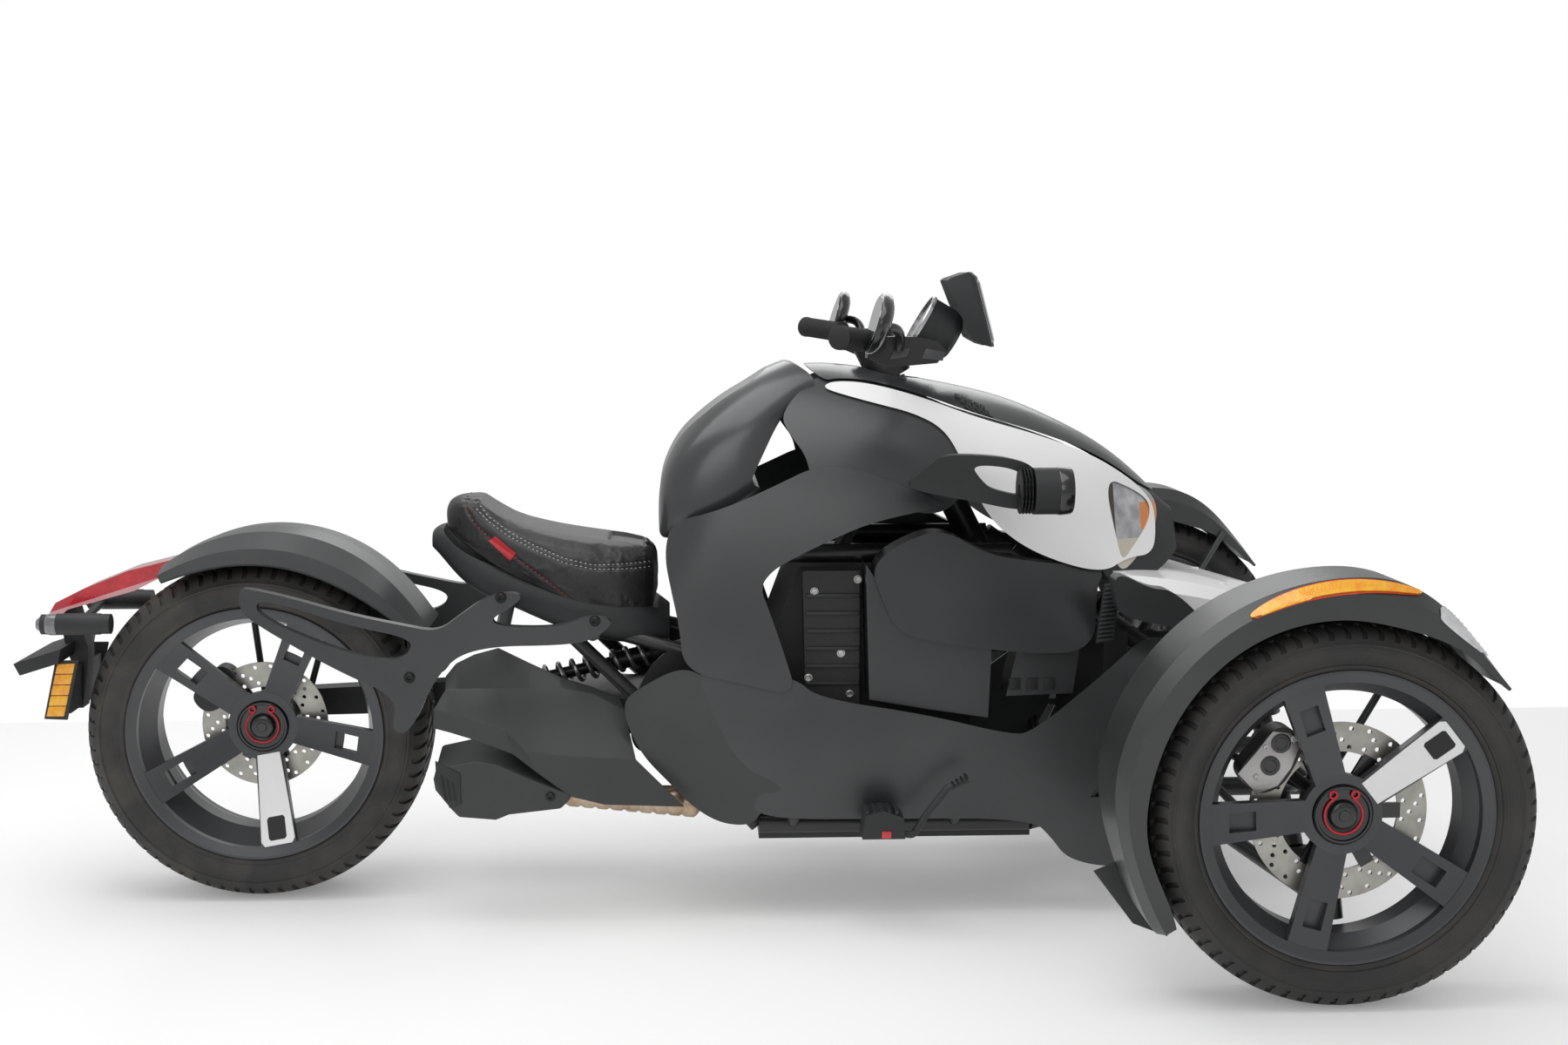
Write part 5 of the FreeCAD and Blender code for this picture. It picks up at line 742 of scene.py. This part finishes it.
teeth = [side(((0.379 + 0.007 * i, 0.247 + 0.0045 * i), (0.384 + 0.007 * i, 0.25 + 0.0045 * i),
               (0.3805 + 0.007 * i, 0.256 + 0.0045 * i), (0.3775 + 0.007 * i, 0.2545 + 0.0045 * i)),
              -0.327, -0.343, 0.0006) for i in range(4)]
piece("pedal_teeth", teeth, black_bolt, "chassis", "peg_metal")

# Auxiliary lamps. A cast heat sink of thin discs behind a round lamp with a clear front glass.
LAMP, FORWARD, UP, ACROSS = (0.5652, -0.335, 0.735), (1, 0, 0), (0, 0, 1), (0, 1, 0)
lamp_fins = [spun([(0.012, 0), (0.0365, 0), (0.0375, 0.0012), (0.0365, 0.0024), (0.012, 0.0024)],
                  (0.4835 + 0.0052 * i, -0.335, 0.735), FORWARD, UP, 40, True) for i in range(4)]
piece("lamp_fins", twins(lamp_fins), core_black_and_shade, "chassis", "pod_black")
bezel = spun([(0.033, 0.0), (0.0385, -0.004), (0.0395, -0.018), (0.0382, -0.02), (0.0382, 0.0),
              (0.036, 0.0035), (0.033, 0.0035)], LAMP, FORWARD, UP, loop=True)
piece("lamp_bezels", twin(bezel), cap_black, "chassis", "pod_black")
glass = spun([(0, 0.0028), (0.02, 0.0024), (0.0328, 0.0008), (0.0328, 0), (0, 0)], LAMP, FORWARD, UP)
piece("lamp_glasses", twin(glass), lens_clear, "chassis", "pod_black")

# Seat. A foam cushion under black leather, its sides darker below a red seam, with a pale double
# seam along the top panel and a blank red tag. Lofted, swelled by cloth pressure, then stitched.


def lofted(rings):
    """Skins closed rings of points one after another and closes both ends."""
    shape = bmesh.new()
    loops = [strung(shape, ring, True)[1] for ring in rings]
    for near, far in zip(loops, loops[1:]):
        bmesh.ops.bridge_loops(shape, edges=near + far)
    for end in (loops[0], loops[-1]):
        bmesh.ops.edgeloop_fill(shape, edges=end)
    return finished(shape)


# Station, half width, underside at the middle, underside at the flank, flank's top and crown.
SEAT_ROWS = ((-0.470, 0.048, 0.650, 0.652, 0.676, 0.690), (-0.455, 0.075, 0.636, 0.640, 0.690, 0.703),
             (-0.430, 0.098, 0.618, 0.622, 0.692, 0.704), (-0.400, 0.112, 0.600, 0.602, 0.674, 0.686),
             (-0.360, 0.125, 0.578, 0.578, 0.650, 0.662), (-0.310, 0.136, 0.556, 0.556, 0.632, 0.646),
             (-0.250, 0.142, 0.532, 0.532, 0.618, 0.634), (-0.190, 0.138, 0.514, 0.512, 0.606, 0.626),
             (-0.145, 0.122, 0.508, 0.502, 0.598, 0.620), (-0.112, 0.094, 0.510, 0.500, 0.590, 0.608))
seat_rings = []
for x, half, low, foot, flank, crown in SEAT_ROWS:
    ring = [(0.0, low), (0.6, low), (0.97, foot), (1.02, foot + (flank - foot) * 0.45), (0.93, flank),
            (0.7, flank + (crown - flank) * 0.62), (0.35, flank + (crown - flank) * 0.92)]
    ring = ring + [(0.0, crown)] + [(-y, z) for y, z in reversed(ring[1:])]
    seat_rings.append([(x, y * half, z) for y, z in ring])
cushion = lofted(seat_rings)
bmesh.ops.subdivide_edges(cushion, edges=cushion.edges[:], cuts=1, use_grid_fill=True, smooth=0.6)
finished(cushion)


def swelled(shape, voxel, pressure, most):
    """An even mesh of a closed cushion, blown up by cloth pressure; its underside stays flat."""
    mesh = bpy.data.meshes.new("swelling")
    shape.to_mesh(mesh)
    holder = bpy.data.objects.new("swelling", mesh)
    bpy.context.scene.collection.objects.link(holder)
    even = holder.modifiers.new("even", "REMESH")
    even.mode, even.voxel_size = "VOXEL", voxel

    def made():
        return bpy.data.meshes.new_from_object(holder.evaluated_get(bpy.context.evaluated_depsgraph_get()))

    calm = made()
    holder.modifiers.clear()
    holder.data = calm
    cloth = holder.modifiers.new("cloth", "CLOTH").settings
    cloth.use_pressure, cloth.uniform_pressure_force, cloth.effector_weights.gravity = True, pressure, 0
    for number in range(1, 21):
        bpy.context.scene.frame_set(number)
    blown = made()
    swollen = bmesh.new()
    swollen.from_mesh(calm)
    for vert, target in zip(swollen.verts, blown.vertices):
        move = target.co - vert.co
        share = min(max((vert.normal.z + 0.55) / 0.3, 0), 1)
        vert.co += move * share * min(1, most / max(move.length, 1e-9))
    bpy.context.scene.frame_set(1)
    bpy.data.objects.remove(holder)
    return swollen


def away(x, z, line):
    """The distance of a side point from a line of side points."""
    least = 1.0
    for (ax, az), (bx, bz) in zip(line, line[1:]):
        run = (bx - ax) ** 2 + (bz - az) ** 2
        share = min(max(((x - ax) * (bx - ax) + (z - az) * (bz - az)) / run, 0), 1)
        least = min(least, math.hypot(x - ax - share * (bx - ax), z - az - share * (bz - az)))
    return least


RED_SEAM = ((-0.4344, 0.7053), (-0.431, 0.6844), (-0.4164, 0.6615), (-0.3942, 0.6404), (-0.342, 0.6019),
            (-0.3008, 0.5729), (-0.2502, 0.5322))
PALE_SEAMS = (((-0.4153, 0.697), (-0.3932, 0.6714), (-0.3597, 0.6484), (-0.3186, 0.6272), (-0.2623, 0.6039),
               (-0.2133, 0.5921), (-0.1679, 0.5918), (-0.1148, 0.5922)),
              ((-0.415, 0.6854), (-0.3928, 0.6643), (-0.3594, 0.6413), (-0.3183, 0.6201), (-0.2621, 0.5969),
               (-0.2132, 0.5853), (-0.1678, 0.5838), (-0.1148, 0.5835)))
# A thread's spacing, the depth and half width of the channel under a seam, and the depth of the
# recess in the top near its front end.
STITCH, CHANNEL_DEPTH, CHANNEL_HALF, RECESS = 0.0075, 0.0022, 0.0045, 0.008
cushion = swelled(cushion, 0.0048, 4.0, 0.005)
bmesh.ops.subdivide_edges(cushion, edges=cushion.edges[:], cuts=1, use_grid_fill=True, smooth=0.3)
cushion.normal_update()
for vert in cushion.verts:
    x, y, z = vert.co
    if abs(vert.normal.y) > 0.25:
        near = min(away(x, z, line) for line in (RED_SEAM, *PALE_SEAMS))
        vert.co -= vert.normal * CHANNEL_DEPTH * max(0.0, 1 - near / CHANNEL_HALF) ** 1.5
    if vert.normal.z > 0.3 and abs(y) < 0.066:
        reach = min(max((0.033 - abs(x + 0.158)) / 0.006, 0), 1) * min(max((0.066 - abs(y)) / 0.01, 0), 1)
        vert.co.z -= RECESS * reach
seat_leather = Finish("seat_leather", ((0.014, 0.014, 0.015), (0.026, 0.026, 0.027)), 0.42, grain=1100,
                      relief=0.1)
seat_leather.facets(420.0, 0.35, 0.0006)
x, z = seat_leather.axis(0), seat_leather.axis(2)
below = ((x + 0.4373) * -0.935 + 0.6998 - z) > 0
seat_leather.put("Base Color", seat_leather.mix(below, seat_leather.colour, (0.009, 0.009, 0.0095)))
seat = piece("seat_cushion", cushion, seat_leather, "chassis", "seat_cover", 60)
bpy.context.view_layer.update()
thread_red = Finish("thread_red", ((0.42, 0.01, 0.02), (0.55, 0.02, 0.03)), 0.6)
thread_pale = Finish("thread_pale", ((0.5, 0.5, 0.48), (0.62, 0.62, 0.6)), 0.6)
tag_red = Finish("tag_red", ((0.4, 0.01, 0.016), (0.5, 0.016, 0.024)), 0.5, grain=700, relief=0.3)


def stitched(line, long, wide):
    """Short threads along a seam on both flanks of the seat."""
    threads = []
    for hand in (-1, 1):
        for (ax, az), (bx, bz) in zip(line, line[1:]):
            count = max(int(math.hypot(bx - ax, bz - az) / STITCH), 1)
            for i in range(count):
                share = (i + 0.5) / count
                start = Vector((ax + (bx - ax) * share, hand * 0.4, az + (bz - az) * share))
                hit, spot, normal, _ = seat.ray_cast(start, Vector((0, -hand, 0)))
                if not hit:
                    continue
                along = Vector((bx - ax, 0, bz - az))
                along = (along - normal * along.dot(normal)).normalized()
                axes = Matrix((along, normal.cross(along), normal)).transposed().to_4x4()
                place = Matrix.Translation(spot + normal * wide * 0.3) @ axes
                thread = bmesh.new()
                bmesh.ops.create_icosphere(thread, subdivisions=1, radius=1,
                                           matrix=place @ Matrix.Diagonal((long, wide, wide, 1)))
                threads.append(thread)
    return threads


piece("red_stitches", stitched(RED_SEAM, 0.0027, 0.0009), thread_red, "chassis", "seat_cover")
pale_threads = [thread for seam in PALE_SEAMS for thread in stitched(seam, 0.0025, 0.0008)]
piece("pale_stitches", pale_threads, thread_pale, "chassis", "seat_cover")


def tag(u, v):
    """A point in front of the seat's blank tag, between its four corners."""
    low = Vector((-0.3909, 0, 0.6311)).lerp((-0.3539, 0, 0.5996), u)
    high = Vector((-0.3795, 0, 0.6405)).lerp((-0.3435, 0, 0.6117), u)
    return low.lerp(high, v) + Vector((0, -0.4, 0))


piece("seat_tag", laid(seat, tag, (0, 1, 0), (14, 6), 0.0008, 0.0012), tag_red, "chassis", "seat_cover")
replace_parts(seat, "seat")

# Handlebar, mirrors and gauge. A steel bar with ribbed rubber grips and moulded switch boxes, oval
# mirrors in gloss black shells on bent stems, and a round gauge barrel with a bezelled glass on the
# rider's side, under a visor with a bordered panel on its front.
bar_black = Finish("bar_black", ((0.012, 0.012, 0.013), (0.02, 0.02, 0.021)), 0.35)
grip_rubber = Finish("grip_rubber", ((0.01, 0.01, 0.01), (0.018, 0.018, 0.018)), 0.7, grain=900, relief=0.4)
box_grey = Finish("box_grey", ((0.045, 0.046, 0.048), (0.06, 0.061, 0.064)), 0.4)
screen_glass = Finish("screen_glass", ((0.05, 0.055, 0.06), (0.075, 0.08, 0.085)), 0.06, Coat_Weight=1.0)
bezel_silver = Finish("bezel_silver", ((0.5, 0.5, 0.51), (0.62, 0.62, 0.63)), 0.25, 0.9)
mirror_glass = Finish("mirror_glass", ((0.3, 0.31, 0.33), (0.36, 0.37, 0.39)), 0.03, 1.0, relief=0.0)
dress(bar_black, "handlebar")
GRIP, GRIP_RIB = 0.0178, 0.0188
# The mirror's middle, how far it leans back with its height, and how much it narrows outwards.
MIRROR_Y, MIRROR_Z, LEAN, NARROWING = 0.424, 1.0065, 0.28, 0.12
grips, mirrors, glasses, stems = [], [], [], []
for hand in (-1, 1):
    inner, outer = Vector((0.2485, hand * 0.339, 0.976)), Vector((0.1856, hand * 0.430, 0.985))
    way = outer - inner
    length = way.length
    line = [(0, 0), (0.0172, 0.0), (0.021, 0.002), (0.021, 0.006), (GRIP, 0.007)]
    for i in range(14):
        start = 0.009 + (length - 0.016) * i / 14
        line += [(GRIP, start), (GRIP_RIB, start + 0.001), (GRIP_RIB, start + 0.004), (GRIP, start + 0.005)]
    line += [(0.0195, length - 0.002), (0.0195, length + 0.004), (0.014, length + 0.007), (0, length + 0.007)]
    grips.append(spun(line, inner, way, way.orthogonal(), 28))
    rings = []
    for depth, scale in ((0.016, 0.2), (0.014, 0.62), (0.008, 0.9), (0.0, 1.0), (-0.007, 1.0),
                         (-0.009, 0.96)):
        ring = []
        for t in equal_turns(28):
            y, z = 0.0725 * math.cos(t) * scale, 0.047 * math.sin(t) * scale * (1 - NARROWING * math.cos(t))
            ring.append((0.2475 + depth + LEAN * z, hand * (MIRROR_Y + y), MIRROR_Z + z))
        rings.append(ring)
    mirrors.append(rounded(lofted(rings), 0.0008, 1, 40))
    stems.append(wire(((0.262, hand * 0.4, 1.0), (0.290, hand * 0.378, 1.002), (0.286, hand * 0.345, 0.966)),
                      0.008, around=5))
    outline = [(0.2474 - 0.0095 + LEAN * 0.043 * math.sin(t), hand * (MIRROR_Y + 0.067 * math.cos(t)),
                MIRROR_Z + 0.043 * math.sin(t) * (1 - NARROWING * math.cos(t))) for t in equal_turns(40)]
    glasses.append(pulled(outline, (-0.0008, 0, 0)))
piece("grips", grips, grip_rubber, "handlebar", "bar_black")
shells = piece("mirror_shells", mirrors + stems, cap_black, "handlebar", "mirror_black")
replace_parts(shells, "mirrors")
piece("mirror_glasses", glasses, mirror_glass, "handlebar", "mirror_black")
insets = [side(((0.2704, 0.9477), (0.2785, 0.964), (0.3051, 0.966), (0.2991, 0.9517)),
               -0.3398, -0.3425, 0.0015),
          side(((0.3217, 0.9497), (0.3297, 0.9659), (0.3606, 0.9598), (0.3566, 0.9455)),
               -0.3398, -0.3425, 0.0015)]
piece("switch_insets", twins(insets), box_grey, "handlebar", "bar_black")
piece("switch_red", side(((0.238, 0.982), (0.25, 0.982), (0.25, 0.996), (0.24, 0.994)), -0.312, -0.33, 0.002),
      clip_red, "handlebar", "bar_black")
BARREL, BARREL_WAY = (0.3587, 0, 1.0018), (0.86, 0, -0.51)
barrel = spun([(0, 0.07), (0.03, 0.07), (0.044, 0.062), (0.05, 0.046), (0.05, 0.006), (0.0505, 0.004),
               (0.0475, 0.002), (0.0465, 0.004), (0, 0.004)], BARREL, BARREL_WAY, ACROSS, 56)
VISOR = ((0.4116, 1.0743), (0.4169, 1.0787), (0.4481, 1.0895), (0.4581, 1.0809), (0.49, 0.9588),
         (0.4742, 0.9632), (0.4538, 0.9744), (0.4447, 0.9922), (0.425, 1.04))
visor = lofted([[(x - 0.012 * (y / 0.054) ** 2, y, z) for x, z in VISOR]
                for y in (-0.054, -0.042, -0.028, -0.014, 0, 0.014, 0.028, 0.042, 0.054)])
bracket = side(((0.3, 0.945), (0.36, 0.932), (0.4, 0.945), (0.36, 0.985)), -0.02, 0.02, 0.003)
gauge = piece("gauge_pod", [barrel, rounded(visor, 0.0016, 2, 28), bracket], moulded_black, "handlebar",
              "gauge_black")
bpy.context.view_layer.update()
bezel = spun([(0.0478, -0.0035), (0.0505, -0.0035), (0.0522, -0.0015), (0.0522, 0.004), (0.0478, 0.004)],
             BARREL, BARREL_WAY, ACROSS, 56, True)
piece("gauge_bezel", bezel, bezel_silver, "handlebar", "gauge_black")
glass = spun([(0, 0), (0.0476, 0), (0.0476, 0.003), (0, 0.003)], BARREL, BARREL_WAY, ACROSS)
piece("gauge_glass", glass, screen_glass, "handlebar", "gauge_black")
for name, half, low, high, rise, surface in (("visor_border", 0.047, 0.9665, 1.0745, 0.0006, bezel_silver),
                                             ("visor_glass", 0.043, 0.9705, 1.0705, 0.0016, screen_glass)):
    def on_visor(u, v):
        return 0.6, half * (2 * u - 1), low + (high - low) * v

    piece(name, laid(gauge, on_visor, (-1, 0, 0), (14, 10), rise, 0.0014), surface, "handlebar",
          "gauge_black")
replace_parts(gauge, "gauge")

# Tail. A two-tone lens on the fender's end, bullet signals with smoked tips, and an amber reflector
# of five cells in a black holder on each side of the plate's bracket.
tail_lens = Finish("tail_lens", ((0.5, 0.008, 0.02), (0.66, 0.015, 0.03)), 0.14, patches=50, Coat_Weight=0.8)
x, z = tail_lens.axis(0), tail_lens.axis(2)
lower = (z - 0.505 - (x + 1.15) * 0.317) < 0
tail_lens.put("Base Color", tail_lens.mix(lower, tail_lens.colour, (0.75, 0.36, 0.38)))
tail_lens.facets(180.0, 0.4)
dress(tail_lens, "tail_light")
SIGNAL = (-1.0235, -0.14, 0.498)
signals = spun([(0, -0.118), (0.008, -0.117), (0.0155, -0.108), (0.0178, -0.096), (0.0182, -0.094),
                (0.0182, -0.02), (0.0150, -0.008), (0.009, -0.001), (0, 0)], SIGNAL, FORWARD, UP, 32)
piece("signal_bodies", twin(signals), moulded_black, "chassis", "bracket_black")
tips = spun([(0, -0.126), (0.009, -0.124), (0.0158, -0.114), (0.0184, -0.100), (0.0184, -0.09),
             (0, -0.09)], SIGNAL, FORWARD, UP, 32)
piece("signal_tips", twin(tips), lens_smoked, "chassis", "bracket_black")
cells = []
for i in range(5):
    low, high = 0.331 + 0.0185 * i, 0.3485 + 0.0185 * i
    foot, head = 0.0022 * (2 * i - 5), 0.0022 * (2 * i - 3.1)
    cells.append(side(((-1.1405 + foot, low), (-1.1105 + foot, low), (-1.1105 + head, high),
                       (-1.1405 + head, high)), -0.0945, -0.0985, 0.0014))
holder = side(((-1.1565, 0.326), (-1.1165, 0.324), (-1.0935, 0.428), (-1.1335, 0.428)),
              -0.0915, -0.0958, 0.002)
piece("reflector_holders", twin(holder), moulded_black, "chassis", "bracket_black")
piece("side_reflectors", twins(cells), lens_amber, "chassis", "bracket_black")

# Studio. A pale floor that the camera and mirrors see a little brighter, a soft box overhead, a fill
# beside the camera, a light behind, and the camera at the place the photo was taken from.
floor_mesh = bpy.data.meshes.new("floor")
ground = bmesh.new()
bmesh.ops.create_grid(ground, x_segments=1, y_segments=1, size=9)
bmesh.ops.scale(ground, vec=(1, 0.58, 1), verts=ground.verts)
bmesh.ops.translate(ground, vec=(0, -3.79, 0), verts=ground.verts)
ground.to_mesh(floor_mesh)
floor = placed("floor", floor_mesh)
floor_paint = Finish("floor_paint", ((0.88, 0.88, 0.88), (0.9, 0.9, 0.9)), 0.5, patches=1)
straight, mirrored, through = [floor_paint.add("LightPath", out=ray) for ray in
                               ("Is Camera Ray", "Is Glossy Ray", "Is Transmission Ray")]
glow = straight.maths("MAXIMUM", straight, mirrored)
floor_paint.put("Emission Color", glow.maths("MAXIMUM", glow, through))
floor_paint.put("Emission Strength", 0.2)
floor_mesh.materials.append(floor_paint.material)

world = bpy.data.worlds.new("studio")
bpy.context.scene.world = world
world.use_nodes = True
sky = world.node_tree
join(sky, sky.nodes["Background"].inputs["Color"], (1, 1, 1))
seen = add(sky, "LightPath", out="Is Camera Ray")
join(sky, sky.nodes["Background"].inputs["Strength"], 0.52 + seen * 0.48)

for name, place, aim, power, wide, deep in (
        ("soft_box", (-0.7, -0.5, 3.1), (0, 0, 0.3), 52, 3.6, 2.2),
        ("fill", (-1.2, -4.2, 2.4), (0, 0, 0.5), 24, 2.4, 1.8),
        ("rim_light", (0.4, 3.2, 2.4), (0, 0, 0.5), 20, 3.0, 1.5)):
    lamp_data = bpy.data.lights.new(name, "AREA")
    lamp_data.shape, lamp_data.energy, lamp_data.size, lamp_data.size_y = "RECTANGLE", power, wide, deep
    lamp_object = placed(name, lamp_data)
    lamp_object.location = place
    lamp_object.rotation_euler = (Vector(aim) - Vector(place)).to_track_quat("-Z", "Y").to_euler()

lens = bpy.data.cameras.new("camera")
lens.sensor_width, lens.lens = 36, 47.464
camera = placed("camera", lens)
yaw, pitch = math.radians(2.8323), math.radians(6.5164)
camera.location = (-0.060648, -3.638905, 1.063956)
camera.rotation_euler = Vector((math.sin(yaw) * math.cos(pitch), math.cos(yaw) * math.cos(pitch),
                                -math.sin(pitch))).to_track_quat("-Z", "Y").to_euler()
bpy.context.scene.camera = camera
bpy.context.scene.view_settings.view_transform = "Standard"
